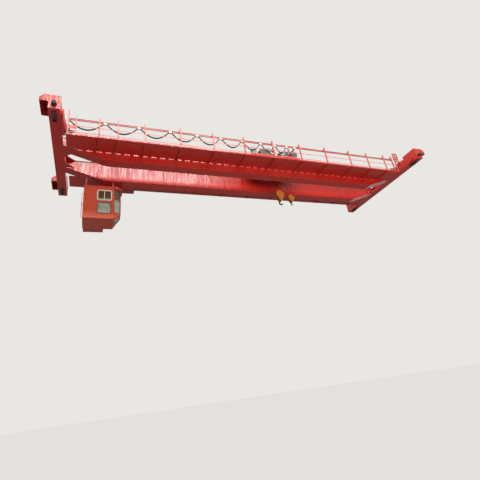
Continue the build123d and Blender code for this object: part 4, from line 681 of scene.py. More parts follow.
class Shape:
    """A mesh in the making: each part is shaped by itself and then taken in at its place."""

    def __init__(self) -> None:
        """Start with nothing."""
        self.whole = bmesh.new()

    def take(self, part: bmesh.types.BMesh, place: Matrix = Matrix.Identity(4)) -> None:
        """Merge one closed part into the whole.

        Args:
            part: the part, which is freed.
            place: where it goes.
        """
        bmesh.ops.remove_doubles(part, verts=part.verts, dist=1e-5)
        bmesh.ops.transform(part, matrix=place, verts=part.verts)
        bmesh.ops.recalc_face_normals(part, faces=part.faces)
        carrier = bpy.data.meshes.new("part")
        part.to_mesh(carrier)
        part.free()
        self.whole.from_mesh(carrier)
        bpy.data.meshes.remove(carrier)

    def block(self, low: Sequence[float], high: Sequence[float], bevel: float = 0.004) -> None:
        """Add a rectangular block with rounded edges.

        Args:
            low: its lowest corner.
            high: its highest corner.
            bevel: width of the rounding, or 0.
        """
        part = bmesh.new()
        bmesh.ops.create_cube(part, size=1.0)
        size = [b - a for a, b in zip(low, high)]
        middle = [(a + b) / 2 for a, b in zip(low, high)]
        bmesh.ops.scale(part, vec=size, verts=part.verts)
        round_edges(part, bevel)
        self.take(part, Matrix.Translation(middle))

    def pad(self, middle: Span, half: Span, height: Span, bevel: float = 0.004) -> None:
        """Add an upright rectangular block round a middle.

        Args:
            middle: its place along X and Y.
            half: half its size along X and Y.
            height: its bottom and its top.
            bevel: width of the rounding, or 0.
        """
        low = (middle[0] - half[0], middle[1] - half[1], height[0])
        high = (middle[0] + half[0], middle[1] + half[1], height[1])
        self.block(low, high, bevel)

    def turned(self, profile: Profile, centre: Sequence[float], facing: Facing, steps: int = 32) -> None:
        """Add a shape turned round an axis.

        Args:
            profile: (radius, distance along the axis) from one end to the other.
            centre: where the axis starts.
            facing: way the axis points.
            steps: sides of the turned shape.
        """
        part = bmesh.new()
        points = [part.verts.new((radius, 0.0, along)) for radius, along in profile]
        for pair in zip(points, points[1:]):
            part.edges.new(pair)
        sweep(part, math.tau, steps, closed=True)
        self.take(part, facing.placed(centre))

    def coil(
        self, radius: float, wire: float, centre: Sequence[float], rise: float, turns: float, steps: int = 24
    ) -> None:
        """Add a round wire wound along the runway's direction.

        Args:
            radius: from the axis to the wire's middle.
            wire: the wire's radius.
            centre: where the axis starts.
            rise: length of the winding, negative to wind the other way.
            turns: number of turns.
            steps: sides of one turn.
        """
        part = bmesh.new()
        bmesh.ops.create_circle(part, cap_ends=True, segments=8, radius=wire)
        stand = Matrix.Translation((radius, 0.0, 0.0)) @ Matrix.Rotation(math.pi / 2, 4, "X")
        bmesh.ops.transform(part, matrix=stand, verts=part.verts)
        sweep(part, turns * math.tau, round(turns * steps), rise)
        self.take(part, Facing.FAR.placed(centre))

    def plate(self, outline: Iterable[Sequence[float]], push: Sequence[float], bevel: float = 0.0) -> None:
        """Add a flat plate of any outline.

        Args:
            outline: its corners in order.
            push: from that face to the opposite one.
            bevel: width of the rounding, or 0.
        """
        part = bmesh.new()
        face = part.faces.new([part.verts.new(corner) for corner in outline])
        grown = bmesh.ops.extrude_face_region(part, geom=[face], use_keep_orig=True)
        moved = [element for element in grown["geom"] if isinstance(element, bmesh.types.BMVert)]
        bmesh.ops.translate(part, vec=push, verts=moved)
        round_edges(part, bevel)
        self.take(part)

    def rod(self, route: Sequence[Sequence[float]], radius: float, sides: int = 2) -> None:
        """Add a round rod or lead along a smooth route.

        Args:
            route: control points of its NURBS line.
            radius: of the rod.
            sides: roundness of its section.
        """
        line = bpy.data.curves.new("route", "CURVE")
        line.dimensions = "3D"
        spline = line.splines.new("NURBS")
        spline.points.add(len(route) - 1)
        for knot, point in zip(spline.points, route):
            knot.co = (*point, 1.0)
        spline.order_u = 3
        spline.use_endpoint_u = True
        spline.resolution_u = 6
        line.bevel_depth = radius
        line.bevel_resolution = sides
        line.use_fill_caps = True
        holder = bpy.data.objects.new("route", line)
        swept = bpy.data.meshes.new_from_object(holder)
        part = bmesh.new()
        part.from_mesh(swept)
        bpy.data.objects.remove(holder)
        bpy.data.curves.remove(line)
        bpy.data.meshes.remove(swept)
        self.take(part)

    def bolts(self, places: Iterable[Sequence[float]], facing: Facing, across: float = 0.024) -> None:
        """Add hexagon bolt heads on washers.

        Args:
            places: points on the surface under each washer.
            facing: way the heads point.
            across: width of a head.
        """
        for place in places:
            radius = across / 2
            washer = ((0.0, 0.0), (1.35 * radius, 0.0), (1.35 * radius, 0.15 * radius), (0.0, 0.15 * radius))
            self.turned(washer, place, facing, 12)
            low, high = 0.15 * radius, 0.85 * radius
            head = ((0.0, low), (1.12 * radius, low), (1.12 * radius, high - 0.1 * radius))
            self.turned((*head, (0.95 * radius, high), (0.0, high)), place, facing, 6)

    def piece(
        self,
        name: str,
        body: str | None,
        finish: Finish,
        stands_for: Sequence[str] = (),
        crease: float = 34.0,
    ) -> bpy.types.Object:
        """Close the shape and hand it over as a finished piece.

        Args:
            name: the piece's name.
            body: body that it moves with, or none for a piece that spans two bodies and stays unattached.
            finish: its finish.
            stands_for: nodes that it replaces.
            crease: degrees past which an edge is drawn sharp.
        Returns:
            The new object.
        """
        mesh = bpy.data.meshes.new(name)
        self.whole.to_mesh(mesh)
        self.whole.free()
        mesh.shade_smooth()
        mesh.set_sharp_from_angle(angle=math.radians(crease))
        mesh.materials.append(finish.material())
        made = add_object(name, mesh)
        if body is not None:
            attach(made, body)
        if stands_for:
            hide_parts(*stands_for)
        mesh.calc_loop_triangles()
        LOG.info("%s: %d triangles", name, len(mesh.loop_triangles))
        return made


def around(
    centre: Sequence[float], radius: float, count: int, facing: Facing, start: float = 0.0
) -> list[Triple]:
    """Places of a bolt circle.

    Args:
        centre: middle of the circle.
        radius: of the circle.
        count: number of bolts.
        facing: way the circle's axis points.
        start: angle of the first bolt, in radians.
    Returns:
        The places.
    """
    place = facing.placed(centre)
    angles = [start + math.tau * i / count for i in range(count)]
    return [tuple(place @ Vector((radius * math.cos(a), radius * math.sin(a), 0.0))) for a in angles]


@dataclass
class PaintShop:
    """Finishes of the solids that are carried over from the model as they are."""

    finishes: dict[Finish, tuple[str, ...]]

    def build(self) -> None:
        """Put each finish on its nodes."""
        for finish, nodes in self.finishes.items():
            for node in nodes:
                for slot in frame["nodes"][node].material_slots:
                    slot.material = finish.material()
            LOG.info("%s on %d nodes", finish.name, len(nodes))


@dataclass
class CableLoops:
    """Festoon cables: a bundle of four leads and a red tow line between each pair of carriers."""

    track_y: float = -2.29
    top: float = 0.971
    sag: float = 0.5
    anchor_face: float = 0.557
    carrier_places: tuple[float, ...] = (2.27, 4.02, 5.73, 7.28, 8.73, 10.11, 11.34, 12.31, 13.17, 13.75)
    carrier_half: float = 0.09
    lead_radius: float = 0.014
    lead_spread: float = 0.016
    lead_steps: int = 8
    line_radius: float = 0.004
    line_place: Span = (0.036, -0.02)  # aside of and above the bundle's middle

    def route(self, start: float, end: float, aside: float, rise: float) -> list[Triple]:
        """Find the control points of one lead between two saddles, on a parabola.

        Args:
            start: the left saddle's face.
            end: the right saddle's face.
            aside: how far the lead lies to the side of the bundle's middle.
            rise: how far it lies above that middle.
        Returns:
            The points.
        """
        points = []
        for i in range(self.lead_steps + 1):
            along = i / self.lead_steps
            drop = 4 * along * (1 - along) * self.sag
            points.append((start + (end - start) * along, self.track_y + aside, self.top + rise - drop))
        return points

    def build(self) -> None:
        """Hang every loop between the two bodies that hold it."""
        faces = [self.anchor_face]
        for place in self.carrier_places:
            faces += [place - self.carrier_half, place + self.carrier_half]
        for i, (start, end) in enumerate(zip(faces[0::2], faces[1::2])):
            bundle = Shape()
            for aside in (-self.lead_spread, self.lead_spread):
                for rise in (-self.lead_spread, self.lead_spread):
                    bundle.rod(self.route(start, end, aside, rise), self.lead_radius)
            stands_for = () if i else ("hanging_cables",)
            made = bundle.piece(f"cable_loop_{i + 1}", None, CABLE_SHEATH, stands_for)
            line = Shape()
            line.rod(self.route(start, end, *self.line_place), self.line_radius, 1)
            red = line.piece(f"tow_line_{i + 1}", None, RAIL_RED)
            for bent in (made, red):
                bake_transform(bent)


@dataclass(frozen=True)
class Hoist:
    """Sizes that one hoist's ropes, drum and hook block share.

    The ropes hang straight down on both sides of the sheaves: from the drum on one side and from the
    anchor beam on the other.
    """

    name: str
    place_x: float  # of the hook block's middle
    side: int  # of the block that its drum is on: -1 left, 1 right
    rope: float  # radius
    spread: float  # from one sheave to the other
    sheave: float  # radius to the rope's middle
    sheave_z: float
    cross_z: float
    shank: float  # radius
    cheek_y: float
    drum: float  # radius to the rope's middle
    drum_z: float = 1.52
    anchor_z: float = 1.16

    @property
    def drum_x(self) -> float:
        """Return the place of the drum's axis along X."""
        return self.place_x + self.side * (self.sheave + self.drum)


@dataclass
class HoistRopes:
    """Wire ropes of one hook block: two falls from the drum and two to the anchor beam."""

    hoist: Hoist
    strands: int = 6
    valley: float = 0.8  # radius of the valleys between the strands, as a share of the rope's
    lay_radii: float = 20.0  # length of one turn of the strands, in radii of the rope
    lay_steps: int = 14  # rings of the mesh in one turn

    def strand(self, shape: Shape, place: Triple, length: float) -> None:
        """Lay up one rope from strands twisted along it.

        Args:
            shape: what the rope is added to.
            place: its lower end.
            length: of the rope.
        """
        part = bmesh.new()
        bmesh.ops.create_circle(part, cap_ends=True, segments=3 * self.strands, radius=self.hoist.rope)
        for i, corner in enumerate(sorted(part.verts, key=lambda v: math.atan2(v.co.y, v.co.x))):
            if i % 3 == 0:
                corner.co *= self.valley
        lay = self.lay_radii * self.hoist.rope
        sweep(part, math.tau * length / lay, round(length / lay * self.lay_steps), length)
        shape.take(part, Matrix.Translation(place))

    def build(self) -> None:
        """Build the falls, which stretch between the trolley and the hook block."""
        hoist = self.hoist
        falls = Shape()
        for way, top in ((hoist.side, hoist.drum_z), (-hoist.side, hoist.anchor_z)):
            for half in (-hoist.spread / 2, hoist.spread / 2):
                low = (hoist.place_x + way * hoist.sheave, half, hoist.sheave_z)
                self.strand(falls, low, top - hoist.sheave_z)
        stands_for = (f"{hoist.name}_drum_ropes", f"{hoist.name}_anchor_ropes")
        made = falls.piece(f"{hoist.name}_rope_falls", None, ROPE, stands_for, 60.0)
        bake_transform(made)


@dataclass
class DrumWinding:
    """Rope wound on a drum in two halves, from near its flanges towards the middle."""

    hoist: Hoist
    outer: float  # where each half starts, from the drum's middle
    inner: float  # where it ends
    pitch: float

    def build(self) -> None:
        """Wind both halves."""
        hoist = self.hoist
        winding = Shape()
        turns = (self.outer - self.inner) / self.pitch
        for side in (-1, 1):
            start = (hoist.drum_x, side * self.outer, hoist.drum_z)
            winding.coil(hoist.drum, hoist.rope, start, -side * (self.outer - self.inner), turns)
        winding.piece(f"{hoist.name}_drum_winding", "trolley", ROPE, crease=60.0)


@dataclass
class FinnedMotor:
    """Totally enclosed squirrel-cage motor: finned frame, end shields and fan cowl; its terminal box is added
    by the caller.
    """

    centre: Triple
    facing: Facing
    radius: float
    length: float
    fins: int = 26
    fin_thick: float = 0.006
    fin_span: Span = (0.12, 0.78)
    # end shield, finned frame and fan cowl, in shares of the radius and the length
    frame: Profile = (
        (0.0, 0.0),
        (0.32, 0.0),
        (0.4, 0.03),
        (0.9, 0.05),
        (0.98, 0.07),
        (0.98, 0.11),
        (0.86, 0.12),
        (0.86, 0.78),
        (0.98, 0.78),
        (0.99, 0.94),
        (0.93, 0.985),
        (0.8, 1.0),
        (0.0, 1.0),
    )

    def build(self, shape: Shape) -> None:
        """Add the motor.

        Args:
            shape: what it is added to.
        """
        start = Vector(self.centre) - Vector(self.facing.value) * self.length / 2
        shape.turned(scaled(self.frame, self.radius, self.length), start, self.facing, 40)
        fin_start, fin_end = (self.length * share for share in self.fin_span)
        out = Matrix.Translation((0.92 * self.radius, 0.0, (fin_start + fin_end) / 2))
        for i in range(self.fins):
            fin = bmesh.new()
            bmesh.ops.create_cube(fin, size=1.0)
            size = (0.16 * self.radius, self.fin_thick, fin_end - fin_start)
            bmesh.ops.scale(fin, vec=size, verts=fin.verts)
            round_axis = Matrix.Rotation(math.tau * i / self.fins, 4, "Z")
            shape.take(fin, self.facing.placed(start) @ round_axis @ out)
        shield = start + Vector(self.facing.value) * 0.055 * self.length
        shields = around(shield, 0.84 * self.radius, 6, self.facing)
        shape.bolts(shields, self.facing, 0.02)


@dataclass
class TrolleyMachinery:
    """What shows on the trolley's machines: covers, flange bolts, finned motors, feet and boxes."""

    deck: float = 1.16
    near_face: float = -1.08
    cover_thick: float = 0.03
    # middle, radius and length of each hoist motor
    hoist_motors: tuple[tuple[Triple, float, float], ...] = (
        ((12.09, -0.10, 1.48), 0.21, 0.76),
        ((13.55, -0.425, 1.48), 0.16, 0.35),
    )
    # place along X and Z and radius of each bearing cover
    main_cover: Triple = (12.85, 1.52, 0.235)
    aux_cover: Triple = (13.55, 1.48, 0.175)
    # bearing cover's ring and cap, in shares of its radius and metres
    ring: Profile = (
        (0.55, 0.0),
        (0.98, 0.0),
        (0.98, 0.008),
        (0.86, 0.02),
        (0.62, 0.02),
        (0.55, 0.012),
        (0.55, 0.0),
    )
    cap: Profile = ((0.0, 0.0), (0.52, 0.0), (0.52, 0.012), (0.4, 0.03), (0.0, 0.034))
    case_ends: tuple[Span, ...] = ((11.9, 13.1), (13.4, 14.7))
    flange_top: float = 1.515
    flange_rows: Span = (-1.05, -0.87)
    flange_step: float = 0.14

    def motors(self) -> None:
        """Build the two hoist motors on their feet, with terminal boxes."""
        shape = Shape()
        plate_top = self.deck + 0.03
        for (x, y, z), radius, length in self.hoist_motors:
            FinnedMotor((x, y, z), Facing.FAR, radius, length).build(shape)
            for side in (-1, 1):
                for end in (-1, 1):
                    foot = (x + side * 0.62 * radius, y + end * 0.26 * length)
                    shape.pad(foot, (0.18 * radius, 0.05 * length), (self.deck, z - 0.55 * radius))
                    shape.bolts([(foot[0] + side * 0.3 * radius, foot[1], plate_top)], Facing.UP)
            shape.pad((x, y), (0.8 * radius, 0.35 * length), (self.deck, plate_top))
            box = (x + 0.6 * radius, y)
            shape.pad(box, (0.25 * radius, 0.15 * length), (z + 0.45 * radius, z + 1.02 * radius), 0.01)
            shape.pad(box, (0.28 * radius, 0.17 * length), (z + radius, z + 1.05 * radius))
        shape.piece("hoist_motor_bodies", "trolley", MACHINE_GREY, ("hoist_motors",))

    def covers(self) -> None:
        """Build the gearboxes' round bearing covers, the square plate on its corner and flange bolts."""
        white = Shape()
        dark = Shape()
        bolts = Shape()
        face = self.near_face - self.cover_thick
        for x, z, radius in (self.main_cover, self.aux_cover):
            white.turned(scaled(self.ring, radius), (x, face, z), Facing.NEAR, 48)
            dark.turned(scaled(self.cap, radius), (x, face, z), Facing.NEAR, 32)
            bolts.bolts(around((x, face - 0.02, z), 0.74 * radius, 8, Facing.NEAR, 0.3), Facing.NEAR)
        x, z, radius = self.aux_cover
        reach = 1.42 * radius
        corners = [(x + reach, z), (x, z + reach), (x - reach, z), (x, z - reach)]
        white.plate([(a, self.near_face - 0.004, b) for a, b in corners], (0.0, -0.014, 0.0), 0.004)
        for start, end in self.case_ends:
            count = round((end - start) / self.flange_step)
            for y in self.flange_rows:
                row = [(start + (end - start) * (i + 0.5) / count, y, self.flange_top) for i in range(count)]
                bolts.bolts(row, Facing.UP, 0.022)
        white.piece("gearbox_cover_rings", "trolley", MACHINE_WHITE)
        dark.piece("gearbox_caps", "trolley", FORGED_BLACK)
        bolts.piece("gearbox_bolts", "trolley", ZINC)

    def build(self) -> None:
        """Build all of it."""
        self.motors()
        self.covers()


@dataclass
class HookSet:
    """Grooved sheaves, crosshead bolts and the forged hook of one hook block.

    The hook's sizes are multiples of its shank's radius. Its section is round in the shank, deep and
    narrow in the bowl and small at the tip, and it is lofted through rings along the bent middle line.
    """

    hoist: Hoist
    rings: int = 20  # corners of one ring of the forging
    bowl: float = 3.5  # radius of the hook's outer curve
    throat: float = 1.75  # radius of its inner curve
    lean: float = 0.45  # how far the inner curve's middle lies aside of and above the outer one's
    drop: float = 5.4  # how far the bowl's middle hangs under the crosshead
    bowl_start: int = 115  # degrees round the bowl at which its first ring lies
    thinning: int = 320  # degrees at which the tip begins to thin
    tip: int = 366  # degrees at which it ends
    ring_step: int = 16  # degrees between rings
    gap: float = 0.0003  # between the drawn pieces and what they turn on
    nut: Profile = ((0.0, 0.0), (1.42, 0.0), (1.5, 0.1), (1.5, 0.9), (1.4, 1.0), (0.0, 1.0))
    # ring round the sheaves' pin, in shares of the sheave's radius and metres
    collar: Profile = ((0.17, 0.0), (0.26, 0.0), (0.26, 0.008), (0.17, 0.008), (0.17, 0.0))

    def section(
        self, shape: bmesh.types.BMesh, place: Vector, ahead: Vector, wide: float, thick: float
    ) -> list[bmesh.types.BMEdge]:
        """Add one ring of the hook's forging.

        Args:
            shape: mesh that gets the ring.
            place: its middle.
            ahead: direction of the middle line there.
            wide: half its depth in the hook's plane.
            thick: half its thickness across that plane.
        Returns:
            The ring's edges.
        """
        across = Vector((ahead.z, 0.0, -ahead.x)).normalized()
        corners = []
        for i in range(self.rings):
            angle = math.tau * i / self.rings
            side = Vector((0.0, math.sin(angle) * thick, 0.0))
            corners.append(shape.verts.new(place + across * (math.cos(angle) * wide) + side))
        return [shape.edges.new((corners[i - 1], corners[i])) for i in range(self.rings)]

    def build_hook(self) -> None:
        """Loft the hook from its shank round the bowl to the tip, and put its nut on."""
        hoist = self.hoist
        unit = hoist.shank
        # place along and up, half depth and half thickness of each ring, in units of the shank's radius
        line = [(0.0, height, 0.97, 0.97) for height in (7.3, 5.0, 4.0)]
        line.append((-0.25, 3.15, 1.0, 0.95))
        for degrees in range(self.bowl_start, self.tip, self.ring_step):
            angle = math.radians(degrees)
            along = self.lean * (math.cos(angle) + math.sin(angle))
            inner = along + math.sqrt(along**2 + self.throat**2 - 2 * self.lean**2)
            middle = (self.bowl + inner) / 2
            thinned = max(0.0, (degrees - self.thinning) / (self.tip - self.thinning))
            taper = 1.0 - 0.55 * thinned
            wide = (self.bowl - inner) / 2 * taper
            line.append((middle * math.cos(angle), middle * math.sin(angle), wide, 0.85 * taper))
        bowl_z = hoist.cross_z - self.drop * unit
        forging = bmesh.new()
        loops = []
        for i, (x, z, wide, thick) in enumerate(line):
            before = line[max(i - 1, 0)]
            after = line[min(i + 1, len(line) - 1)]
            ahead = Vector((after[0] - before[0], 0.0, after[1] - before[1]))
            place = Vector((hoist.place_x + x * unit, 0.0, bowl_z + z * unit))
            loops.append(self.section(forging, place, ahead, wide * unit, thick * unit))
        for first, second in zip(loops, loops[1:]):
            bmesh.ops.bridge_loops(forging, edges=first + second)
        bmesh.ops.holes_fill(forging, edges=loops[0] + loops[-1], sides=self.rings)
        hook = Shape()
        hook.take(forging)
        seat = (hoist.place_x, 0.0, hoist.cross_z + 1.1 * unit + self.gap)
        hook.turned(scaled(self.nut, unit, unit), seat, Facing.UP, 6)
        hook.piece(
            f"{hoist.name}_forged_hook",
            f"{hoist.name}_hook_body",
            FORGED_BLACK,
            (f"{hoist.name}_hook",),
        )

    def build_sheaves(self) -> None:
        """Turn the two grooved sheaves, with a hub, a thin web and a deep rim."""
        hoist = self.hoist
        half = 2.25 * hoist.rope
        bore = 0.16 * hoist.sheave + self.gap
        rim = hoist.sheave + hoist.rope + 0.01
        root = hoist.sheave - hoist.rope
        side = [
            (bore, half),
            (0.34 * hoist.sheave, half),
            (0.38 * hoist.sheave, 0.55 * half),
            (0.78 * hoist.sheave, 0.45 * half),
            (0.86 * hoist.sheave, 0.9 * half),
            (rim - 0.003, half),
            (rim, half - 0.002),
            (root + 0.3 * hoist.rope, 0.42 * half),
            (root, 0.15 * half),
        ]
        profile = side + [(radius, -along) for radius, along in reversed(side)] + side[:1]
        wheels = Shape()
        for way in (-1, 1):
            wheels.turned(profile, (hoist.place_x, way * hoist.spread / 2, hoist.sheave_z), Facing.FAR, 48)
        wheels.piece(
            f"{hoist.name}_grooved_sheaves",
            f"{hoist.name}_hook_block",
            HOOK_ORANGE,
            (f"{hoist.name}_sheaves",),
        )

    def build_trim(self) -> None:
        """Put a bolted collar, a rim bead and the crosshead's bolts on both cheek plates."""
        hoist = self.hoist
        trim = Shape()
        bolts = Shape()
        face = hoist.cheek_y + 0.007
        for facing, way in ((Facing.NEAR, -1), (Facing.FAR, 1)):
            middle = (hoist.place_x, way * face, hoist.sheave_z)
            trim.turned(scaled(self.collar, hoist.sheave), middle, facing)
            on_collar = (hoist.place_x, way * (face + 0.008), hoist.sheave_z)
            bolts.bolts(around(on_collar, 0.215 * hoist.sheave, 6, facing), facing, 0.014)
            outer = hoist.sheave + 0.032
            inner = outer - 0.012
            bead = ((inner, 0.0), (outer, 0.0), (outer, 0.004), (inner, 0.004), (inner, 0.0))
            trim.turned(bead, middle, facing, 64)
            for along in (-hoist.shank, hoist.shank):
                for up in (-0.7 * hoist.shank, 0.7 * hoist.shank):
                    spot = (hoist.place_x + along, way * face, hoist.cross_z + up)
                    bolts.bolts([spot], facing, 0.022)
        trim.piece(f"{hoist.name}_block_trim", f"{hoist.name}_hook_block", HOOK_ORANGE)
        bolts.piece(f"{hoist.name}_block_bolts", f"{hoist.name}_hook_block", ZINC)

    def build(self) -> None:
        """Build hook, sheaves and trim."""
        self.build_hook()
        self.build_sheaves()
        self.build_trim()


@dataclass
class BridgeTrim:
    """Small steelwork on the bridge: rail clips, weld beads, bolts, covers, axle caps."""

    span: float = 22.5
    girder_y: float = 1.01
    top: float = 0.61
    bottom: float = -0.61
    end_bottom: float = 0.10
    girder_end: float = 0.25
    flat_start: float = 2.39
    web_half: float = 0.25
    clip_step: float = 0.72
    posts: tuple[float, ...] = (
        0.48,
        0.85,
        1.96,
        2.89,
        *(4.3 + 1.942 * bay for bay in range(8)),
        19.42,
        20.93,
        21.65,
        21.95,
    )
    walkway_edge: float = 2.5
    carriage_half: float = 0.25
    wheel_y: float = 3.45
    wheel_z: float = 0.35
    gear_y: float = -2.58
    gear_depth: float = 0.17
    motor_inset: float = 0.38
    motor_y: float = -2.14
    motor_z: float = 0.30
    motor_radius: float = 0.14
    motor_length: float = 0.43
    axle_cap: Profile = ((0.0, 0.0), (0.125, 0.0), (0.125, 0.02), (0.1, 0.028), (0.085, 0.05), (0.0, 0.055))
    cover_places: Triple = (-1.9, 0.0, 1.9)

    def build_clips(self) -> None:
        """Clamp both trolley rails to their girders with bolted clips on either side."""
        clips = Shape()
        bolts = Shape()
        count = int((self.span - 1.2) / self.clip_step)
        for i in range(count + 1):
            place = 0.6 + i * self.clip_step
            for rail in (-1, 1):
                for side in (-1, 1):
                    y = rail * self.girder_y + side * 0.062
                    clip_top = self.top + 0.018
                    clips.pad((place, y), (0.03, 0.028), (self.top, clip_top))
                    bolts.bolts([(place, y + side * 0.004, clip_top)], Facing.UP, 0.022)
        clips.piece("trolley_rail_clips", "bridge", PLATE_RED)
        bolts.piece("trolley_rail_bolts", "bridge", ZINC)

    def build_welds(self) -> None:
        """Run a fillet weld along both flanges of every web, level in the middle and cranked at the ends."""
        beads = Shape()
        inset = 0.012
        for girder in (-1, 1):
            for side in (-1, 1):
                y = girder * self.girder_y + side * (self.web_half + 0.001)
                turn = [
                    (self.girder_end, self.end_bottom + inset),
                    (self.flat_start, self.bottom + inset),
                    (self.span - self.flat_start, self.bottom + inset),
                    (self.span - self.girder_end, self.end_bottom + inset),
                ]
                for first, second in zip(turn, turn[1:]):
                    points = [(first[0], y, first[1]), (second[0], y, second[1])]
                    middle = tuple((a + b) / 2 for a, b in zip(*points))
                    beads.rod([points[0], middle, points[1]], 0.006, 1)
                ends = (self.girder_end, self.span / 2, self.span - self.girder_end)
                beads.rod([(x, y, self.top - inset) for x in ends], 0.006, 1)
        beads.piece("girder_weld_beads", "bridge", PLATE_RED)

    def build_bolts(self) -> None:
        """Bolt the railing's posts to the walkway and put a bolt circle on both gear cases."""
        bolts = Shape()
        for post in self.posts:
            for height in (-0.03, -0.066):
                bolts.bolts([(post + 0.035, -self.walkway_edge + 0.001, height)], Facing.NEAR, 0.018)
        for start, facing in ((0.0, Facing.RIGHT), (self.span, Facing.LEFT)):
            face = start + facing.value[0] * (self.carriage_half + self.gear_depth)
            circle = around((face, self.gear_y, self.wheel_z), 0.24, 12, facing, 0.26)
            bolts.bolts(circle, facing, 0.02)
        bolts.piece("bridge_bolts", "bridge", ZINC)

    def build_covers(self) -> None:
        """Put axle caps on the carriages' outer faces and bolted inspection covers between them."""
        covers = Shape()
        bolts = Shape()
        for start, facing in ((0.0, Facing.LEFT), (self.span, Facing.RIGHT)):
            way = facing.value[0]
            face = start + way * self.carriage_half
            for y in (-self.wheel_y, self.wheel_y):
                covers.turned(self.axle_cap, (face, y, self.wheel_z), facing, 40)
                bolts.bolts(around((face + way * 0.02, y, self.wheel_z), 0.112, 8, facing), facing, 0.016)
            proud = face + way * 0.012
            for y in self.cover_places:
                covers.pad(((face + proud) / 2, y), (0.006, 0.26), (0.18, 0.42))
                for along in (-0.22, -0.075, 0.075, 0.22):
                    bolts.bolts([(proud, y + along, 0.3 + up) for up in (-0.095, 0.095)], facing, 0.02)
        covers.piece("carriage_covers", "bridge", PLATE_RED)
        bolts.piece("carriage_bolts", "bridge", ZINC)

    def build_travel_motors(self) -> None:
        """Build the two finned travel motors beside their gear cases, with terminal boxes."""
        shape = Shape()
        ends = ((self.motor_inset, Facing.RIGHT), (self.span - self.motor_inset, Facing.LEFT))
        for start, facing in ends:
            middle = start + facing.value[0] * self.motor_length / 2
            place = (middle, self.motor_y, self.motor_z)
            FinnedMotor(place, facing, self.motor_radius, self.motor_length).build(shape)
            shape.pad(place[:2], (0.07, 0.05), (self.motor_z + 0.10, self.motor_z + 0.14), 0.006)
        shape.piece("travel_motor_bodies", "bridge", MACHINE_GREY, ("travel_motors",))

    def build(self) -> None:
        """Build all of it."""
        self.build_clips()
        self.build_welds()
        self.build_bolts()
        self.build_covers()
        self.build_travel_motors()


@dataclass
class CabinTrim:
    """Trim of the driver's cabin: window screws, door surround, handle, drip edge, hanger bolts, and a dark
    strip of painted shadow.
    """

    left: float = 1.32
    corner: float = 2.93
    front: float = 0.92
    back: float = 2.34
    floor: float = -2.97
    roof: float = -0.875
    window: tuple[float, ...] = (2.436, -1.485, 0.70, 0.57)  # its middle along X and Z, width and height
    door: Triple = (1.49, 2.19, -1.08)  # its left, right and top
    frame_wide: float = 0.05
    handle_y: float = 1.05
    handle_ends: Span = (-2.02, -2.18)
    hangers: tuple[Span, ...] = ((1.39, 0.98), (2.85, 0.98), (1.964, 2.19), (2.894, 2.19))

    def build(self) -> None:
        """Build the trim."""
        x, z, width, tall = self.window
        screws = Shape()
        reach = width / 2 + 0.03
        spots = []
        for side in (-1, 1):
            spots += [(x + along * reach, z + side * (tall / 2 + 0.03)) for along in (-0.8, 0.0, 0.8)]
            spots += [(x + side * reach, z + up * tall / 2) for up in (-0.55, 0.55)]
        screws.bolts([(a, self.front - 0.014, b) for a, b in spots], Facing.NEAR, 0.012)
        for hanger_x, hanger_y in self.hangers:
            for aside in (-0.018, 0.088):
                foot = [(hanger_x + aside, hanger_y + back, self.roof + 0.012) for back in (-0.018, 0.088)]
                screws.bolts(foot, Facing.UP, 0.016)
        screws.piece("cabin_screws", "bridge", ZINC)
        trim = Shape()
        door_left, door_right, door_top = self.door
        proud = self.back + 0.012
        frame_top = door_top + self.frame_wide
        for side in (door_left - self.frame_wide, door_right):
            trim.block((side, self.back, self.floor + 0.09), (side + self.frame_wide, proud, frame_top))
        trim.block((door_left, self.back, door_top), (door_right, proud, frame_top))
        trim.block((self.left, self.front - 0.012, self.roof - 0.03), (self.corner, self.front, self.roof))
        trim.piece("cabin_trim", "bridge", CABIN_ORANGE)
        dark = Shape()
        # painted shadow: a thin dark rubber strip low on the front face stands for the shade in a recess
        # there
        shade_strip = self.floor + 0.30
        dark.block((2.06, self.front - 0.006, shade_strip), (2.90, self.front, shade_strip + 0.025), 0.002)
        grip = self.left - 0.06
        top, bottom = self.handle_ends
        bent = [(self.left, top), (grip, top - 0.01), (grip, bottom + 0.01), (self.left, bottom)]
        dark.rod([(a, self.handle_y, b) for a, b in bent], 0.012)
        dark.piece("cabin_shade_strip_and_handle", "bridge", RUBBER)


@dataclass(frozen=True)
class Lamp:
    """One soft rectangular lamp of a nearly white light."""

    name: str
    place: Triple
    aim: Triple
    size: Span
    watts: float
    tint: Triple = (1.0, 0.985, 0.965)

    def build(self) -> None:
        """Hang the lamp so that it faces its aim."""
        data = bpy.data.lights.new(self.name, "AREA")
        data.shape = "RECTANGLE"
        data.size, data.size_y = self.size
        data.energy = self.watts
        data.color = self.tint
        lamp = add_object(self.name, data)
        lamp.location = self.place
        lamp.rotation_euler = (Vector(self.aim) - Vector(self.place)).to_track_quat("-Z", "Y").to_euler()


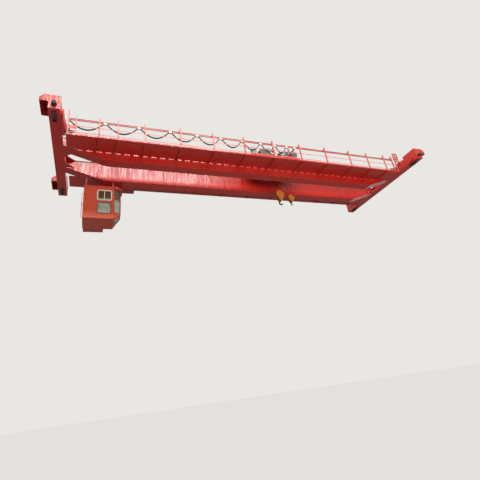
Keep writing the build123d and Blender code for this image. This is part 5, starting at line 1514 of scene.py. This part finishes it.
@dataclass
class Studio:
    """Plain pale floor far below the crane, a pale surround, soft lamps and the photograph's camera."""

    pale: str = "#E9E7E3"
    surround_light: float = 0.27  # strength at which the surround lights the crane
    floor_place: Triple = (11.0, 0.0, -14.5)
    floor_radius: float = 260.0
    floor_light: float = 0.3  # strength at which the floor lights the crane
    floor_tone: float = 0.94  # strength at which the camera sees it
    camera_place: Triple = (2.088, -18.413, -12.746)
    camera_right: Triple = (0.929, -0.345, -0.131)
    camera_down: Triple = (0.046, 0.461, -0.886)
    focal_pixels: float = 363.6
    picture: float = 480.0
    middle: Span = (240.5, 213.5)
    sensor: float = 36.0
    lamps: tuple[Lamp, ...] = (
        Lamp("roof_glazing", (6.5, -18.5, 13.0), (6.5, 0.8, 0.0), (19.0, 3.2), 3900.0),
        Lamp("overhead", (13.0, -6.0, 16.0), (13.0, 0.0, 0.0), (24.0, 12.0), 3000.0),
        Lamp("front", (14.0, -24.0, -8.0), (12.0, 0.0, 0.0), (26.0, 7.0), 3600.0),
    )

    def build_camera(self) -> None:
        """Stand the camera where the photograph was taken from, on the hall's floor, looking up."""
        across = Vector(self.camera_right).normalized()
        down = Vector(self.camera_down)
        down = (down - across * down.dot(across)).normalized()
        ahead = across.cross(down)
        data = bpy.data.cameras.new("photo_camera")
        data.sensor_width = self.sensor
        data.lens = self.focal_pixels / self.picture * self.sensor
        data.shift_x = -(self.middle[0] - self.picture / 2) / self.picture
        data.shift_y = (self.middle[1] - self.picture / 2) / self.picture
        data.clip_start = 0.1
        data.clip_end = 600.0
        camera = add_object("photo_camera", data)
        turn = Matrix((across, -down, -ahead)).transposed().to_4x4()
        camera.matrix_world = Matrix.Translation(self.camera_place) @ turn
        bpy.context.scene.camera = camera

    def build_world(self) -> None:
        """Surround the scene with a pale colour, which lights the crane less than the camera sees."""
        world = bpy.data.worlds.new("pale_surround")
        bpy.context.scene.world = world
        tree = fresh_tree(world)
        ray = add_node(tree, "ShaderNodeLightPath")
        shown = ray.outputs["Is Camera Ray"]
        for kind in ("Is Transmission Ray", "Is Glossy Ray"):
            links = {0: shown, 1: ray.outputs[kind]}
            shown = add_node(tree, "ShaderNodeMath", {"operation": "MAXIMUM"}, links).outputs[0]
        strength = add_node(
            tree, "ShaderNodeMapRange", {"To Min": self.surround_light, "To Max": 1.0}, {"Value": shown}
        )
        light = add_node(
            tree, "ShaderNodeBackground", {"Color": linear(self.pale)}, {"Strength": strength.outputs[0]}
        )
        add_node(tree, "ShaderNodeOutputWorld", links={"Surface": light.outputs[0]})

    def build_floor(self) -> None:
        """Lay the floor, a wide evenly pale disc that is seen only from above."""
        part = bmesh.new()
        bmesh.ops.create_circle(part, cap_ends=True, segments=96, radius=self.floor_radius)
        bmesh.ops.translate(part, vec=self.floor_place, verts=part.verts)
        mesh = bpy.data.meshes.new("studio_floor")
        part.to_mesh(mesh)
        part.free()
        material = bpy.data.materials.new("pale_floor_paint")
        tree = fresh_tree(material)
        surface = add_node(tree, "ShaderNodeNewGeometry")
        ray = add_node(tree, "ShaderNodeLightPath")
        tone = add_node(
            tree,
            "ShaderNodeMapRange",
            {"To Min": self.floor_light, "To Max": self.floor_tone},
            {"Value": ray.outputs["Is Camera Ray"]},
        )
        paint = add_node(
            tree, "ShaderNodeEmission", {"Color": linear(self.pale)}, {"Strength": tone.outputs[0]}
        )
        nothing = add_node(tree, "ShaderNodeBsdfTransparent")
        shown = add_node(
            tree,
            "ShaderNodeMixShader",
            links={0: surface.outputs["Backfacing"], 1: paint.outputs[0], 2: nothing.outputs[0]},
        )
        add_node(tree, "ShaderNodeOutputMaterial", links={"Surface": shown.outputs[0]})
        mesh.materials.append(material)
        floor = add_object("studio_floor", mesh)

    def build(self) -> None:
        """Set up camera, floor, surround and lamps."""
        self.build_camera()
        self.build_floor()
        self.build_world()
        for lamp in self.lamps:
            lamp.build()


MAIN_HOIST = Hoist(
    name="main",
    place_x=13.35,
    side=-1,
    rope=0.01,
    spread=0.15,
    sheave=0.25,
    sheave_z=-1.19,
    cross_z=-1.57,
    shank=0.045,
    cheek_y=0.135,
    drum=0.25,
)
AUX_HOIST = Hoist(
    name="aux",
    place_x=14.18,
    side=1,
    rope=0.007,
    spread=0.09,
    sheave=0.19,
    sheave_z=-1.38,
    cross_z=-1.68,
    shank=0.028,
    cheek_y=0.105,
    drum=0.18,
)
CARRIERS = tuple(f"cable_carrier_{i}" for i in range(1, 11))
PAINTED = PaintShop(
    {
        GIRDER_RED: ("girders", "end_carriages"),
        PLATE_RED: (
            "wheel_hoods",
            "corner_gussets",
            "trolley_stops",
            "walkway_decks",
            "travel_gears",
            "trolley_frame",
            "trolley_deck",
            "drum_pedestals",
            "rope_anchors",
            "tow_arm",
            "cabin_access",
        ),
        BRACKET_RED: ("walkway_brackets",),
        RAIL_RED: (
            "railing_posts",
            "railing_bars",
            "cable_track",
            "track_arms",
            "cable_anchor",
            "end_panel",
            "cabin_hangers",
            "grab_rail",
        ),
        CABIN_ORANGE: ("cabin_shell", "cabin_visor"),
        CREAM: ("window_frame", *CARRIERS),
        MACHINE_WHITE: ("switch_box",),
        GEAR_CASE_GREY: ("hoist_gearboxes",),
        MACHINE_GREY: ("hoist_brakes", "trolley_drive", "rope_drums"),
        HOOK_ORANGE: ("main_block", "aux_block"),
        RAIL_STEEL: ("trolley_rails",),
        WHEEL_STEEL: ("runway_wheels", "trolley_wheels"),
        RUBBER: ("carriage_buffers", "window_gaskets"),
        CAB_GLASS: ("cabin_glass",),
    }
)


def main() -> None:
    """Build the scene in order."""
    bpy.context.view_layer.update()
    bpy.context.scene.view_settings.view_transform = "Standard"
    Studio().build()
    PAINTED.build()
    CableLoops().build()
    HoistRopes(MAIN_HOIST).build()
    HoistRopes(AUX_HOIST).build()
    DrumWinding(MAIN_HOIST, outer=0.64, inner=0.075, pitch=0.023).build()
    DrumWinding(AUX_HOIST, outer=0.6, inner=0.045, pitch=0.017).build()
    TrolleyMachinery().build()
    HookSet(MAIN_HOIST).build()
    HookSet(AUX_HOIST).build()
    BridgeTrim().build()
    CabinTrim().build()


if __name__ == "__main__":
    main()
